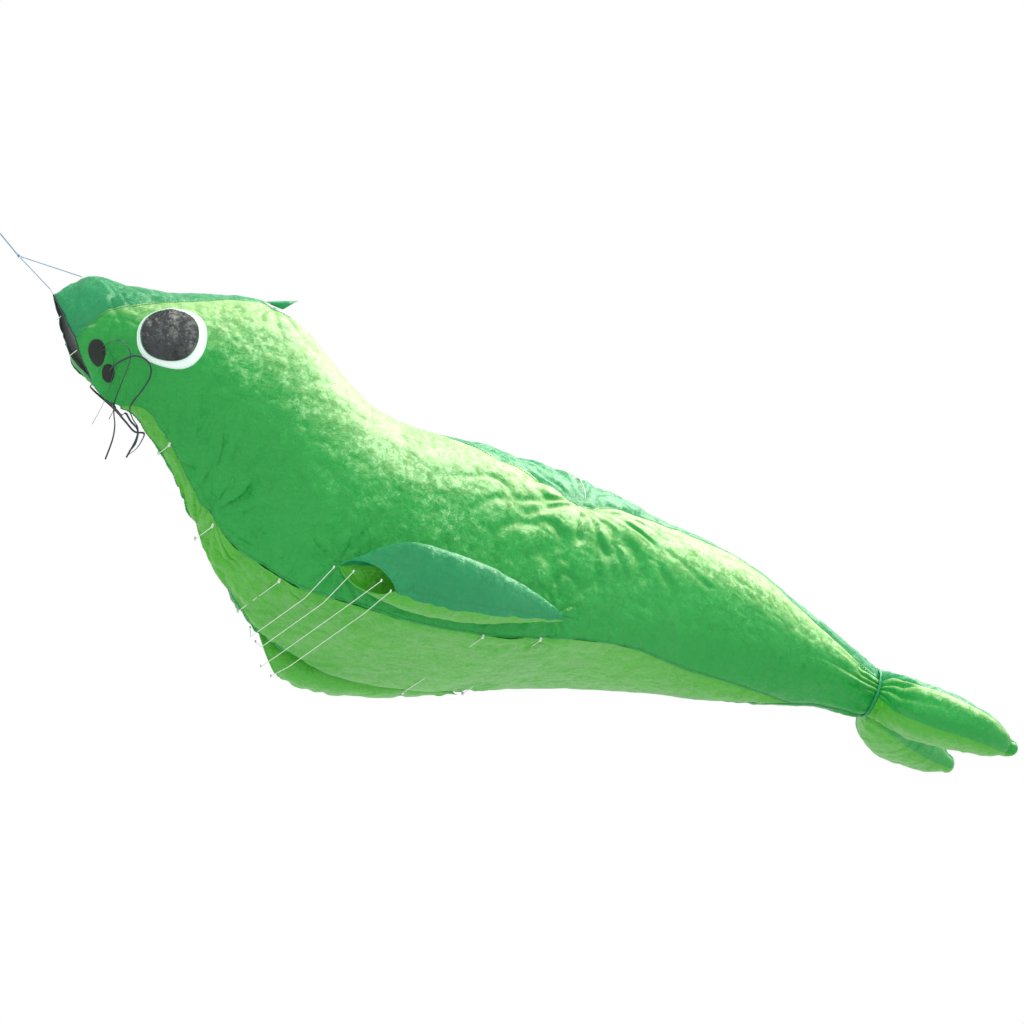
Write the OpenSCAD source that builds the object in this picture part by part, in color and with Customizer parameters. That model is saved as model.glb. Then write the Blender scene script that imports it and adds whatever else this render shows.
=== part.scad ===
// Seal-shaped inflatable line kite, flying level with its nose into the wind.
// +X runs from the nose to the tail, +Y to the seal's right and +Z up.
// The origin is the tow loop, where the kite line ties on.
// Every size is in millimetres.

/* [Body] */
// Length of the body from the nose tip to the waist
body_length = 3640; // [3000:20:4400]
// Width of the body at its widest
body_width = 920; // [740:20:1120]
// Depth of the body from the back to the belly at the flippers
body_depth = 910; // [740:10:1100]
// Thickness drawn for every fabric panel
skin_t = 2; // [1.5:0.1:3]

/* [Flippers] */
// Distance that the front flippers' top skin bulges above their seam
flipper_rise = 170; // [110:5:200]
// Distance that the front flippers' bottom skin bulges below their seam
flipper_drop = 95; // [60:5:110]
// Gap between the flipper's root seam and the body panel
flipper_gap = 8; // [4:1:14]

/* [Tail] */
// Length of the hind flippers behind the waist band
hind_length = 510; // [400:10:640]
// Width across both hind flippers
hind_span = 810; // [640:10:980]
// Thickness of the hind flippers
hind_depth = 225; // [180:5:270]
// Roll of the hind flippers about the body's length, seen from behind
hind_roll = 11.5; // [9:0.5:14]

/* [Face] */
// Width of each eye's white ring
eye_w = 270; // [216:2:300]
// Height of each ear above the head
ear_h = 62; // [48:1:76]
// Diameter of the larger whisker disc
disc_d = 46; // [36:1:56]
// Width of each whisker ribbon
whisker_w = 8; // [6:1:10]

/* [Lines] */
// Diameter of the cross ties
tie_d = 3; // [2.2:0.2:4]
// Diameter of the bridle legs
leg_d = 4; // [3:0.5:6]
// Diameter of the doubled tow line
tow_d = 6; // [5:0.5:8]
// Inside diameter of the tow loop
loop_in = 24; // [18:1:32]

/* [Hidden] */

// Colours
teal = [0.05, 0.62, 0.42];
leaf = [0.45, 0.80, 0.45];
lime = [0.45, 0.75, 0.30];
black = [0.04, 0.08, 0.07];
white = [0.92, 0.97, 0.94];
steel = [0.45, 0.60, 0.70];

// The nose tip seen from the tow loop
nose = [360, 0, -210];

// Stretch of the hand-drawn tables when the body's sizes change
kx = body_length / 3640;
ky = body_width / 920;
kz = body_depth / 910;
function fit(p) = [p[0] * kx, p[1] * ky, p[2] * kz];

// One row per station of the body, measured from the nose tip:
// [top x, top z, bottom x, bottom z, half width, half width of the belly, spine seam angle]
body_rows = [
    [0, 0, 250, -275, 44, 0, 96],
    [22, 24, 285, -312, 90, 0, 84],
    [115, 118, 325, -325, 138, 0, 72],
    [250, 142, 385, -330, 190, 20, 60],
    [400, 168, 480, -335, 228, 52, 46],
    [560, 228, 590, -420, 256, 48, 36],
    [700, 280, 690, -512, 280, 44, 28],
    [800, 297, 790, -642, 305, 66, 23],
    [900, 278, 890, -732, 335, 100, 21],
    [1000, 237, 1000, -785, 362, 142, 20],
    [1120, 150, 1120, -848, 395, 195, 20],
    [1250, 63, 1250, -872, 430, 255, 20],
    [1400, 22, 1400, -880, 450, 312, 21],
    [1580, 35, 1580, -880, 460, 350, 28],
    [1750, 62, 1750, -852, 460, 360, 41],
    [2000, 83, 2000, -784, 440, 358, 54],
    [2170, 90, 2170, -710, 420, 345, 60],
    [2350, 85, 2350, -638, 390, 318, 52],
    [2560, 75, 2560, -572, 345, 262, 44],
    [2800, 80, 2800, -522, 300, 163, 33],
    [3000, 58, 3000, -482, 260, 115, 34],
    [3180, 8, 3180, -438, 210, 58, 41],
    [3320, -30, 3320, -402, 168, 4, 48],
    [3450, -66, 3450, -360, 130, 0, 56],
    [3600, -110, 3600, -338, 92, 0, 66]];
last_row = len(body_rows) - 1;
belly_first = 3;
belly_last = 22;

// Waist: the seam that the tail swings about
waist = fit([3640, 0, -222]);

// Smooth value of column c of a table at row position s
function rise(a, b, c, d, t) =
    0.5 * (2 * b + (c - a) * t + (2 * a - 5 * b + 4 * c - d) * t * t
        + (3 * b - a - 3 * c + d) * t * t * t);
function pick(rows, s, c) =
    let (n = len(rows) - 1, i = min(n - 1, max(0, floor(s))), t = s - i)
    rise(rows[max(0, i - 1)][c], rows[i][c], rows[i + 1][c], rows[min(n, i + 2)][c], t);

// Angle below the widest point at which the side panel reaches the belly seam
function low_angle(s) = 90 - 25 * min(1, belly_half(s) / 100);
function belly_half(s) =
    s < belly_first || s > belly_last ? 0 : max(0, pick(body_rows, s, 5));
function side_end(s) = 90 + low_angle(s);
function spine_angle(s) = pick(body_rows, s, 6);

// Cheeks swell forward beside the mouth
cheek_x = 34;
function cheek(s, a) = s > 3 ? 0 : cheek_x * (1 - s / 3) * pow(sin(min(a, 180)), 2) * sin(a / 2);

// Below its widest point a section is pinched: most at the chin, not at all behind the chest
function chin(s) = s <= 2 ? 3.2 : s <= 5 ? 3.2 - 1.4 * (s - 2) / 3 : s <= 8 ? 1.8 : max(1, 1.8 - 0.4 * (s - 8));
// The lips lie close together above the corners of the mouth
function lips(s, q) = 1 - 0.8 * max(0, 1 - s / 2) * max(0, 1 - q / 0.62);

// Point of the body at station s and angle a, from 0 on the back round to the belly seam
function ring(s, a) =
    let (tx = pick(body_rows, s, 0), tz = pick(body_rows, s, 1),
        bx = pick(body_rows, s, 2), bz = pick(body_rows, s, 3),
        w = pick(body_rows, s, 4), b = belly_half(s), e = low_angle(s),
        low = max(0, a - 90),
        q = a < 90 ? 0.5 - 0.5 * cos(a) : 0.5 + 0.5 * sin(low) / sin(e),
        fade = max(0, (cos(low) - cos(e)) / (1 - cos(e))),
        y = a < 90 ? w * sin(a) : b + (w - b) * pow(fade, chin(s)))
    [tx + (bx - tx) * q - cheek(s, a), y * lips(s, q), tz + (bz - tz) * q];
// Middle of a section, set back behind the mouth so that panels there turn inward
heart_back = 60;
function heart(s) =
    [(pick(body_rows, s, 0) + pick(body_rows, s, 2)) / 2 + heart_back * max(0, 3 - s), 0,
        (pick(body_rows, s, 1) + pick(body_rows, s, 3)) / 2];
// Point of the belly, flat between its seams, u from -1 to 1
function floor_point(s, u) =
    let (p = ring(s, side_end(s))) [p[0], u * belly_half(s), p[2]];

function unit(v) = v / norm(v);
// A surface point moved in or out along the line to the heart of its section
function along(p, c, d) = p + d * unit(p - c);
function skin(s, a, d) = along(fit(ring(s, a)), fit(heart(s)), d);
function belly_skin(s, u, d) = along(fit(floor_point(s, u)), fit(heart(s)), d);

// A thin closed shell between two grids of points of the same size
module shell(top, under) {
    m = len(top);
    n = len(top[0]);
    function id(i, j) = i * n + j;
    function in(i, j) = m * n + i * n + j;
    polyhedron(
        points = [for (g = [top, under]) for (row = g) for (p = row) p],
        faces = concat(
            [for (i = [0 : m - 2]) for (j = [0 : n - 2])
                each [[id(i, j), id(i, j + 1), id(i + 1, j + 1)],
                    [id(i, j), id(i + 1, j + 1), id(i + 1, j)]]],
            [for (i = [0 : m - 2]) for (j = [0 : n - 2])
                each [[in(i, j), in(i + 1, j + 1), in(i, j + 1)],
                    [in(i, j), in(i + 1, j), in(i + 1, j + 1)]]],
            [for (i = [0 : m - 2])
                each [[id(i, 0), id(i + 1, 0), in(i + 1, 0)],
                    [id(i, 0), in(i + 1, 0), in(i, 0)],
                    [id(i, n - 1), in(i + 1, n - 1), id(i + 1, n - 1)],
                    [id(i, n - 1), in(i, n - 1), in(i + 1, n - 1)]]],
            [for (j = [0 : n - 2])
                each [[id(0, j), in(0, j), in(0, j + 1)],
                    [id(0, j), in(0, j + 1), id(0, j + 1)],
                    [id(m - 1, j), id(m - 1, j + 1), in(m - 1, j + 1)],
                    [id(m - 1, j), in(m - 1, j + 1), in(m - 1, j)]]]));
}

// A round or oval patch: a centre point, rings round it and a wall, between two grids
module patch(top, under, sides) {
    n = len(top);
    rings = (n - 1) / sides;
    function id(r, k) = 1 + (r - 1) * sides + (k % sides);
    polyhedron(
        points = concat(top, under),
        faces = concat(
            [for (k = [0 : sides - 1])
                each [[0, id(1, k), id(1, k + 1)], [n, n + id(1, k + 1), n + id(1, k)]]],
            [for (r = [1 : 1 : rings - 1]) for (k = [0 : sides - 1])
                each [[id(r, k), id(r + 1, k), id(r + 1, k + 1)],
                    [id(r, k), id(r + 1, k + 1), id(r, k + 1)],
                    [n + id(r, k), n + id(r + 1, k + 1), n + id(r + 1, k)],
                    [n + id(r, k), n + id(r, k + 1), n + id(r + 1, k + 1)]]],
            [for (k = [0 : sides - 1])
                each [[id(rings, k), n + id(rings, k), n + id(rings, k + 1)],
                    [id(rings, k), n + id(rings, k + 1), id(rings, k + 1)]]]));
}

// A round cord swept along a list of points
function cord_axes(pts, i) =
    let (n = len(pts), t = unit(pts[min(n - 1, i + 1)] - pts[max(0, i - 1)]),
        whole = unit(pts[n - 1] - pts[0]),
        side = unit(cross(t, abs(whole[1]) > 0.7 ? [1, 0, 0] : [0, 1, 0])))
    [side, cross(t, side)];
module cord(pts, d, sides) {
    n = len(pts);
    function id(i, k) = i * sides + (k % sides);
    polyhedron(
        points = [for (i = [0 : n - 1]) for (k = [0 : sides - 1])
            let (f = cord_axes(pts, i), a = 360 * k / sides)
            pts[i] + d / 2 * (f[0] * cos(a) + f[1] * sin(a))],
        faces = concat(
            [for (i = [0 : n - 2]) for (k = [0 : sides - 1])
                each [[id(i, k), id(i + 1, k + 1), id(i, k + 1)],
                    [id(i, k), id(i + 1, k), id(i + 1, k + 1)]]],
            [[for (k = [0 : sides - 1]) id(0, k)]],
            [[for (k = [sides - 1 : -1 : 0]) id(n - 1, k)]]));
}
// Points along a smooth curve through hand-chosen points
function curve(pts, steps) =
    [for (i = [0 : len(pts) - 2]) for (k = [0 : steps - 1])
        [for (c = [0 : 2]) pick(pts, i + k / steps, c)],
     pts[len(pts) - 1]];
// A straight round rod from p to q
module rod(p, q, d) {
    v = q - p;
    translate(p)
        rotate([0, acos(v[2] / norm(v)), atan2(v[1], v[0])])
            cylinder(d = d, h = norm(v), $fn = 16);
}

module from_nose() {
    translate(nose) children();
}
module right() {
    children();
}
module left() {
    mirror([0, 1, 0]) children();
}

// ---- Body panels ----
station_steps = 2;
side_steps = 10;
spine_steps = 6;
function stations(a, b) = [for (i = [0 : (b - a) * station_steps]) a + i / station_steps];

module spine_panel() {
    function grid(d) = [for (s = stations(0, last_row)) [for (j = [-spine_steps : spine_steps])
        let (p = skin(s, abs(j) / spine_steps * spine_angle(s), d)) [p[0], j < 0 ? -p[1] : p[1], p[2]]]];
    color(teal) from_nose() shell(grid(0), grid(-skin_t));
}
module side_panel() {
    function grid(d) = [for (s = stations(0, last_row)) [for (j = [0 : side_steps])
        skin(s, spine_angle(s) + (side_end(s) - spine_angle(s)) * j / side_steps, d)]];
    color(leaf) from_nose() shell(grid(0), grid(-skin_t));
}
module belly_panel() {
    function grid(d) = [for (s = stations(belly_first, belly_last)) [for (j = [0 : 6])
        belly_skin(s, 1 - j / 3, d)]];
    color(lime) from_nose() shell(grid(0), grid(-skin_t));
}

// ---- Face ----
mouth_sides = 24;
// Rim of the mouth, moved forward by d
function rim(d) = [for (k = [0 : mouth_sides - 1])
    let (a = 360 * k / mouth_sides, p = fit(ring(0, a <= 180 ? a : 360 - a)))
    [p[0] - d, a <= 180 ? p[1] : -p[1], p[2] - d]];
function middle(pts) = [for (c = [0 : 2]) sum(pts, c) / len(pts)];
function sum(pts, c, i = 0) = i < len(pts) ? pts[i][c] + sum(pts, c, i + 1) : 0;
mesh_t = 2;
mesh_gap = 0.3;
module mouth_mesh() {
    far = rim(mesh_gap + mesh_t);
    near = rim(mesh_gap);
    color(black) from_nose()
        patch(concat([middle(far)], far), concat([middle(near)], near), mouth_sides);
}
// Two short cords tie the lips together across the mouth
stay_rows = [0.35, 0.62];
stay_out = 8;
module mouth_stays() {
    color(white) from_nose()
        for (q = stay_rows) {
            p = fit(ring(0, 180 * q)) + [-stay_out, 0, -stay_out];
            rod(p, [p[0], -p[1], p[2]], tie_d);
        }
}

// An oval patch of fabric lying on the side panel, from d0 to d1 above it
oval_sides = 28;
function oval(s0, a0, rs, ra, d, rings) = concat(
    [skin(s0, a0, d)],
    [for (r = [1 : rings]) for (k = [0 : oval_sides - 1])
        let (f = r / rings, b = 360 * k / oval_sides)
        skin(s0 + f * rs * cos(b), a0 + f * ra * sin(b), d)]);
module side_oval(s0, a0, rs, ra, d0, d1, rings) {
    patch(oval(s0, a0, rs, ra, d1, rings), oval(s0, a0, rs, ra, d0, rings), oval_sides);
}
// Eye: centre as a station and an angle, and radii in stations and degrees
eye_s = 3.93;
eye_a = 89;
eye_rs = eye_w / 270 * 0.98;
eye_ra = eye_w / 270 * 27.5;
patch_gap = 1.3;
patch_t = 1.2;
pupil_size = 0.85;
module eye_white() {
    color(white) from_nose()
        side_oval(eye_s, eye_a, eye_rs, eye_ra, patch_gap, patch_gap + patch_t, 4);
}
module eye_pupil() {
    color(black) from_nose()
        side_oval(eye_s - 0.08, eye_a - 2, eye_rs * pupil_size, eye_ra * pupil_size,
            2 * patch_gap + patch_t, 2 * patch_gap + 2 * patch_t, 3);
}
// Whisker discs on the cheek: centre as a station and an angle, radii in stations and degrees
disc_t = 2;
discs = [[1.33, 110.7, 0.44, 13.5], [1.9, 129.9, 0.36, 9.5]];
module whisker_discs() {
    k = disc_d / 46;
    color(black) from_nose()
        for (c = discs) side_oval(c[0], c[1], k * c[2], k * c[3], patch_gap, patch_gap + disc_t, 1);
}
// Whisker ribbons, three on the left cheek and then three on the right one. Each one stands
// off the cheek, loops over and falls below the chin.
whisker_routes = [
    [[204, -108, -186], [211, -133, -174], [227, -158, -162], [247, -176, -156], [281, -185, -171],
        [308, -172, -199], [321, -137, -235], [328, -94, -269], [336, -52, -304], [341, -27, -329],
        [349, -27, -378], [365, -27, -424], [371, -27, -483], [363, -27, -574]],
    [[207, -104, -192], [228, -122, -189], [259, -115, -209], [283, -91, -239], [297, -53, -277],
        [305, -21, -315], [299, -21, -362], [289, -21, -410], [278, -21, -454]],
    [[273, -75, -242], [272, -119, -235], [285, -160, -222], [312, -195, -205], [348, -210, -204],
        [386, -203, -221], [404, -174, -252], [404, -122, -291], [397, -80, -323],
        [389, -80, -362], [411, -80, -396], [440, -80, -424], [444, -80, -475], [425, -80, -558]],
    [[202, 93, -205], [216, 122, -191], [259, 135, -201], [308, 121, -238], [351, 85, -279],
        [380, 57, -315], [355, 40, -308], [364, 34, -338], [355, 30, -382]],
    [[190, 98, -193], [201, 152, -163], [261, 189, -160], [347, 177, -225], [397, 117, -288],
        [415, 79, -322], [418, 42, -326], [446, 42, -349], [482, 40, -374], [485, 36, -431],
        [468, 34, -474]],
    [[273, 64, -253], [278, 121, -237], [324, 193, -216], [413, 196, -249], [459, 142, -310],
        [489, 96, -357], [515, 58, -367], [513, 54, -400], [499, 50, -442], [466, 46, -493]]];
whisker_steps = 5;
module whisker(n) {
    color(black) from_nose()
        cord(curve([for (p = whisker_routes[n]) fit(p)], whisker_steps), whisker_w, 8);
}

// Ear: a small pointed fin sewn along the spine seam
ear_root = [[795, 122, 262], [872, 128, 256]];
ear_tip = [922, 132, 256];
ear_t = 2;
ear_lift = 6;
module ear() {
    f = fit(ear_root[0]) + [0, 0, ear_lift];
    r = fit(ear_root[1]) + [0, 0, ear_lift];
    t = fit(ear_tip) + [0, 0, ear_h];
    color(teal) from_nose()
        polyhedron(
            points = [for (d = [-ear_t / 2, ear_t / 2]) for (p = [f, r, t]) p + [0, d, 0]],
            faces = [[0, 1, 2], [3, 5, 4], [0, 3, 4, 1], [1, 4, 5, 2], [2, 5, 3, 0]]);
}

// ---- Front flippers ----
// One row per station: [root x, y, z, outer x, y, z, share of the rise, share of the drop]
// The root y is measured out from the body panel.
flipper_rows = [
    [1262, 372, -778, 1455, 540, -872, 0.35, 0.45],
    [1370, 404, -745, 1550, 556, -872, 1.00, 0.85],
    [1530, 432, -715, 1690, 552, -852, 1.05, 1.10],
    [1680, 437, -690, 1860, 535, -800, 0.90, 1.05],
    [1830, 432, -665, 2000, 510, -745, 0.62, 0.80],
    [1990, 440, -655, 2105, 492, -703, 0.36, 0.45],
    [2110, 464, -662, 2160, 482, -683, 0.15, 0.18]];
flipper_across = 8;
// Height of the bulge at u, from 0 at the root to 1 at the outer seam
function bulge(u, power) = pow(max(0, 4 * u * (1 - u)), power);
function flipper_point(s, u, up, d) =
    let (i = fit([for (c = [0 : 2]) pick(flipper_rows, s, c)]) + [0, flipper_gap, 0],
        o = fit([for (c = [3 : 5]) pick(flipper_rows, s, c)]),
        span = norm(o - i), n = unit([0, o[2] - i[2], i[1] - o[1]]) * -1,
        h = up ? flipper_rise * pick(flipper_rows, s, 6) * bulge(u, 0.8)
            : -flipper_drop * pick(flipper_rows, s, 7) * bulge(u, 1))
    i + (o - i) * u + n * h + d * (up ? -1 : 1) * n * min(1, 6 * u * (1 - u) + 0.3);
flipper_end = len(flipper_rows) - 1;
edge_gap = 1;
module flipper_skin(up) {
    z = up ? edge_gap : -edge_gap;
    function grid(d) = [for (s = stations(0, flipper_end)) [for (j = [0 : flipper_across])
        flipper_point(s, up ? j / flipper_across : 1 - j / flipper_across, up, d) + [0, 0, z]]];
    from_nose() shell(grid(0), grid(skin_t));
}
module flipper_top() {
    color(teal) flipper_skin(true);
}
module flipper_bottom() {
    color(lime) flipper_skin(false);
}
// Ties from one flipper's mouth to the other's, drawn taut round the belly:
// [mouth x, y, z, belly x, y, z]
flipper_ties = [
    [1240, 385, -800, 1205, 250, -900],
    [1298, 450, -816, 1270, 285, -905],
    [1380, 552, -856, 1345, 320, -908],
    [1428, 548, -880, 1420, 340, -908]];
module flipper_tie(n) {
    t = flipper_ties[n];
    a = fit([t[0], t[1], t[2]]);
    b = fit([t[3], t[4], t[5]]);
    color(white) from_nose()
        cord([a, b, [b[0], -b[1], b[2]], [a[0], -a[1], a[2]]], tie_d, 8);
}

// ---- Cross ties of the body ----
// Each tie joins the left seam to the right seam outside the panel: its station position
tie_out = 7;
function seam_low(s) = belly_skin(s, 1, 0) + [0, 0, -tie_out];
module cross_tie(p) {
    color(white) from_nose() rod(p, [p[0], -p[1], p[2]], tie_d);
}
throat_s = 5;
chest_s = 7.4;
belly_tie_s = [9.9, 14.6, 15.8];
spine_s = 16;
module throat_tie() {
    cross_tie(seam_low(throat_s));
}
module chest_tie() {
    cross_tie(seam_low(chest_s));
}
module belly_ties() {
    for (s = belly_tie_s) cross_tie(seam_low(s));
}
module spine_tie() {
    function over(k) = let (p = skin(spine_s, abs(k) * spine_angle(spine_s), tie_out))
        [p[0], k < 0 ? -p[1] : p[1], p[2]];
    color(white) from_nose() cord([for (k = [-1 : 0.125 : 1]) over(k)], tie_d, 8);
}
// Webbing tabs sewn on the seams where the ties end
tab = [8, 3, 11];
module tab_pair(p) {
    for (side = [-1, 1])
        translate([p[0], side * (p[1] + tab[1] / 2 + 0.3), p[2] - tab[2] / 2 + tie_d])
            cube(tab, center = true);
}
module tie_tabs() {
    color(white) from_nose() {
        tab_pair(seam_low(throat_s));
        tab_pair(seam_low(chest_s));
        for (s = belly_tie_s) tab_pair(seam_low(s));
    }
}

// ---- Waist and hind flippers ----
band_x = 86;
band_gap = 2;
band_steps = 4;
band_sides = 28;
// Rings from the body's rear edge to the hind flippers' front edge: [x, top z, bottom z, half width]
band_rows = [[0, -110, -338, 92], [0.5, -126, -325, 86], [1, -130, -322, 91]];
module waist_band() {
    function ringlet(t, d) =
        let (r = [for (c = [0 : 3]) pick(band_rows, 2 * t, c)])
        [for (k = [0 : band_sides])
            let (a = 360 * k / band_sides, x = 3600 * kx + band_gap + t * (band_x - 2 * band_gap))
            [x, (r[3] * ky + d) * sin(a), (r[1] + r[2]) / 2 * kz + ((r[1] - r[2]) / 2 * kz + d) * cos(a)]];
    color(leaf) from_nose()
        hose([for (i = [0 : band_steps]) ringlet(i / band_steps, 0)],
            [for (i = [0 : band_steps]) ringlet(i / band_steps, -skin_t)]);
}
// A closed tube wall between an outer and an inner stack of rings whose first point repeats last
module hose(outer, inner) {
    m = len(outer);
    n = len(outer[0]) - 1;
    function id(i, k) = i * n + (k % n);
    function in(i, k) = m * n + i * n + (k % n);
    polyhedron(
        points = [for (g = [outer, inner]) for (row = g) for (k = [0 : n - 1]) row[k]],
        faces = concat(
            [for (i = [0 : m - 2]) for (k = [0 : n - 1])
                each [[id(i, k), id(i, k + 1), id(i + 1, k + 1)],
                    [id(i, k), id(i + 1, k + 1), id(i + 1, k)],
                    [in(i, k), in(i + 1, k + 1), in(i, k + 1)],
                    [in(i, k), in(i + 1, k), in(i + 1, k + 1)]]],
            [for (k = [0 : n - 1])
                each [[id(0, k), in(0, k), in(0, k + 1)],
                    [id(0, k), in(0, k + 1), id(0, k + 1)],
                    [id(m - 1, k), id(m - 1, k + 1), in(m - 1, k + 1)],
                    [id(m - 1, k), in(m - 1, k + 1), in(m - 1, k)]]]));
}

// One row per station of a hind flipper, as shares of its length, half span and depth:
// [inner x, inner y, outer x, outer y, top z, bottom z]
hind_rows = [
    [0.00, 0.002, 0.00, 0.24, 0.42, -0.44],
    [0.10, 0.002, 0.04, 0.45, 0.40, -0.52],
    [0.22, 0.002, 0.18, 0.70, 0.34, -0.60],
    [0.34, 0.006, 0.38, 0.92, 0.27, -0.66],
    [0.48, 0.17, 0.59, 1.00, 0.19, -0.64],
    [0.63, 0.31, 0.78, 0.975, 0.11, -0.60],
    [0.78, 0.45, 0.91, 0.90, 0.01, -0.55],
    [0.93, 0.59, 0.985, 0.80, -0.13, -0.46]];
hind_end = len(hind_rows) - 1;
hind_start = 3600 * kx + band_x;
square_power = 0.8;
function round_off(v) = sign(v) * pow(abs(v), square_power);
// Point of a hind flipper at station s, angle a from 0 at the outer edge over the top
function hind_point(s, a, d) =
    let (x0 = pick(hind_rows, s, 0), y0 = max(hind_rows[0][1], pick(hind_rows, s, 1)),
        x1 = pick(hind_rows, s, 2), y1 = pick(hind_rows, s, 3),
        zt = pick(hind_rows, s, 4) * hind_depth, zb = pick(hind_rows, s, 5) * hind_depth,
        u = 0.5 + 0.5 * round_off(cos(a)), half = (zt - zb) / 2,
        p = [hind_start + hind_length * (x0 + (x1 - x0) * u),
            hind_span / 2 * (y0 + (y1 - y0) * u),
            waist[2] + (zt + zb) / 2 + half * round_off(sin(a))],
        c = [hind_start + hind_length * (x0 + x1) / 2, hind_span / 4 * (y0 + y1),
            waist[2] + (zt + zb) / 2])
    along(p, c, d);
top_seam = 40;
inner_seam = 140;
hind_seams = [-inner_seam, -top_seam, top_seam, inner_seam, 360 - inner_seam];
hind_steps = 6;
module hind_panel(k) {
    function grid(d) = [for (s = stations(0, hind_end)) [for (j = [hind_steps : -1 : 0])
        hind_point(s, hind_seams[k] + (hind_seams[k + 1] - hind_seams[k]) * j / hind_steps, d)]];
    from_nose() shell(grid(0), grid(-skin_t));
}
module hind_right() {
    roll_tail() children();
}
module hind_left() {
    roll_tail() left() children();
}
// The hind flippers fly rolled, with the left one lower
module roll_tail() {
    translate(nose + waist) rotate([hind_roll, 0, 0]) translate(-nose - waist) children();
}
module hind_bottom() {
    color(lime) hind_panel(0);
}
module hind_side() {
    color(leaf) hind_panel(1);
}
module hind_top() {
    color(teal) hind_panel(2);
}
module hind_inner_panels() {
    color(leaf) {
        hind_right() hind_panel(3);
        hind_left() hind_panel(3);
    }
}

// ---- Bridle and tow line ----
knot = [-173, 0, 96];
knot_d = 16;
nose_point = [-3, 0, 11];
snout_point = [108, 0, 120];
leg_gap = 1;
tab_long = [22, 4, 12];
module nose_tab() {
    color(white) from_nose() translate(nose_point) rotate([0, 40, 0]) cube(tab_long, center = true);
}
module snout_tab() {
    color(white) from_nose() translate(fit(snout_point)) rotate([0, -30, 0]) cube(tab_long, center = true);
}
function toward(p, q, d) = p + unit(q - p) * d;
module leg(p, start) {
    color(steel) from_nose() rod(toward(p, knot, start), toward(knot, p, knot_d / 2 + leg_gap), leg_d);
}
module lower_bridle_leg() {
    leg(nose_point, 14);
}
module upper_bridle_leg() {
    leg(fit(snout_point), 15);
}
module bridle_knot() {
    color(steel) from_nose() translate(knot) sphere(d = knot_d, $fn = 32);
}
loop_far = loop_in / 2 + tow_d;
module tow_line() {
    a = nose + knot;
    color(steel) rod(toward([0, 0, 0], a, loop_far + leg_gap),
        toward(a, [0, 0, 0], knot_d / 2 + leg_gap), tow_d);
}
module tow_loop() {
    color(steel) rotate([90, 0, 0])
        rotate_extrude($fn = 48) translate([(loop_in + tow_d) / 2, 0]) circle(d = tow_d, $fn = 16);
}

spine_panel();
right() side_panel();  // right_side_panel
left() side_panel();  // left_side_panel
belly_panel();
mouth_mesh();
mouth_stays();
right() eye_white();  // right_eye_white
left() eye_white();  // left_eye_white
right() eye_pupil();  // right_eye_pupil
left() eye_pupil();  // left_eye_pupil
right() ear();  // right_ear
left() ear();  // left_ear
right() whisker_discs();  // right_whisker_discs
left() whisker_discs();  // left_whisker_discs
whisker(3);  // right_whisker_1
whisker(4);  // right_whisker_2
whisker(5);  // right_whisker_3
whisker(0);  // left_whisker_1
whisker(1);  // left_whisker_2
whisker(2);  // left_whisker_3
right() flipper_top();  // right_flipper_top
left() flipper_top();  // left_flipper_top
right() flipper_bottom();  // right_flipper_bottom
left() flipper_bottom();  // left_flipper_bottom
flipper_tie(0);  // flipper_tie_1
flipper_tie(1);  // flipper_tie_2
flipper_tie(2);  // flipper_tie_3
flipper_tie(3);  // flipper_tie_4
throat_tie();
chest_tie();
belly_ties();
spine_tie();
tie_tabs();
waist_band();
hind_right() hind_top();  // right_hind_top
hind_left() hind_top();  // left_hind_top
hind_right() hind_bottom();  // right_hind_bottom
hind_left() hind_bottom();  // left_hind_bottom
hind_right() hind_side();  // right_hind_side
hind_left() hind_side();  // left_hind_side
hind_inner_panels();
nose_tab();
snout_tab();
lower_bridle_leg();
upper_bridle_leg();
bridle_knot();
tow_line();
tow_loop();
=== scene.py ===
# %% [markdown]
# # A seal-shaped inflatable kite
#
# The real object is a bag of thin coated nylon that the wind fills. Long panels are sewn
# edge to edge, thin cords pull some of the seams together, and the two front flippers are
# bags of their own with an open mouth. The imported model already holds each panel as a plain
# shell in its true place. This script makes the cloth itself around those shells: the same
# sections, drawn finely, with the puckers, folds and crinkles that air pressure gives them.

# %% Load the frame
import math

import bpy
import numpy as np
from mathutils import Matrix, Vector


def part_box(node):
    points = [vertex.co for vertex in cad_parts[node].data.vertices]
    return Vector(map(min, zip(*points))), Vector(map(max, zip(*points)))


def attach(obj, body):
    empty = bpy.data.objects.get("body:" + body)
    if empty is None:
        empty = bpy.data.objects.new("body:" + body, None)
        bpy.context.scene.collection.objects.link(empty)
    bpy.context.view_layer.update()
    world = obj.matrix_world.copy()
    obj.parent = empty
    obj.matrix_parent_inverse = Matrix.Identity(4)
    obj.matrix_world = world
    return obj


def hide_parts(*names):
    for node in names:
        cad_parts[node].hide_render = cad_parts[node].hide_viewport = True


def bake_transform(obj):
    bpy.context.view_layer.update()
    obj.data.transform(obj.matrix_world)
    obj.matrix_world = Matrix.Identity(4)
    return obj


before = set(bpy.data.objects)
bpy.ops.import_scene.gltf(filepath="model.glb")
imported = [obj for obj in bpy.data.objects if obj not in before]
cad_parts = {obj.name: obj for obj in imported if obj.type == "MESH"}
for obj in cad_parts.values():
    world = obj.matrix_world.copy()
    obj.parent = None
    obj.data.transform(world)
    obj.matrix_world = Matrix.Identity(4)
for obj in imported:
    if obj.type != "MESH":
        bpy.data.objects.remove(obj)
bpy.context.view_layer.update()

# %% [markdown]
# ## Camera
#
# The kite is seen from in front, from its left and from below, as it is from the ground.
# The camera is far away with a long lens, so that the body keeps its true proportions, and
# it is rolled a little, because the kite climbs across the view. Its three axes are worked
# out from the two angles and the roll, and it aims at a point beside the belly.

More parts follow.
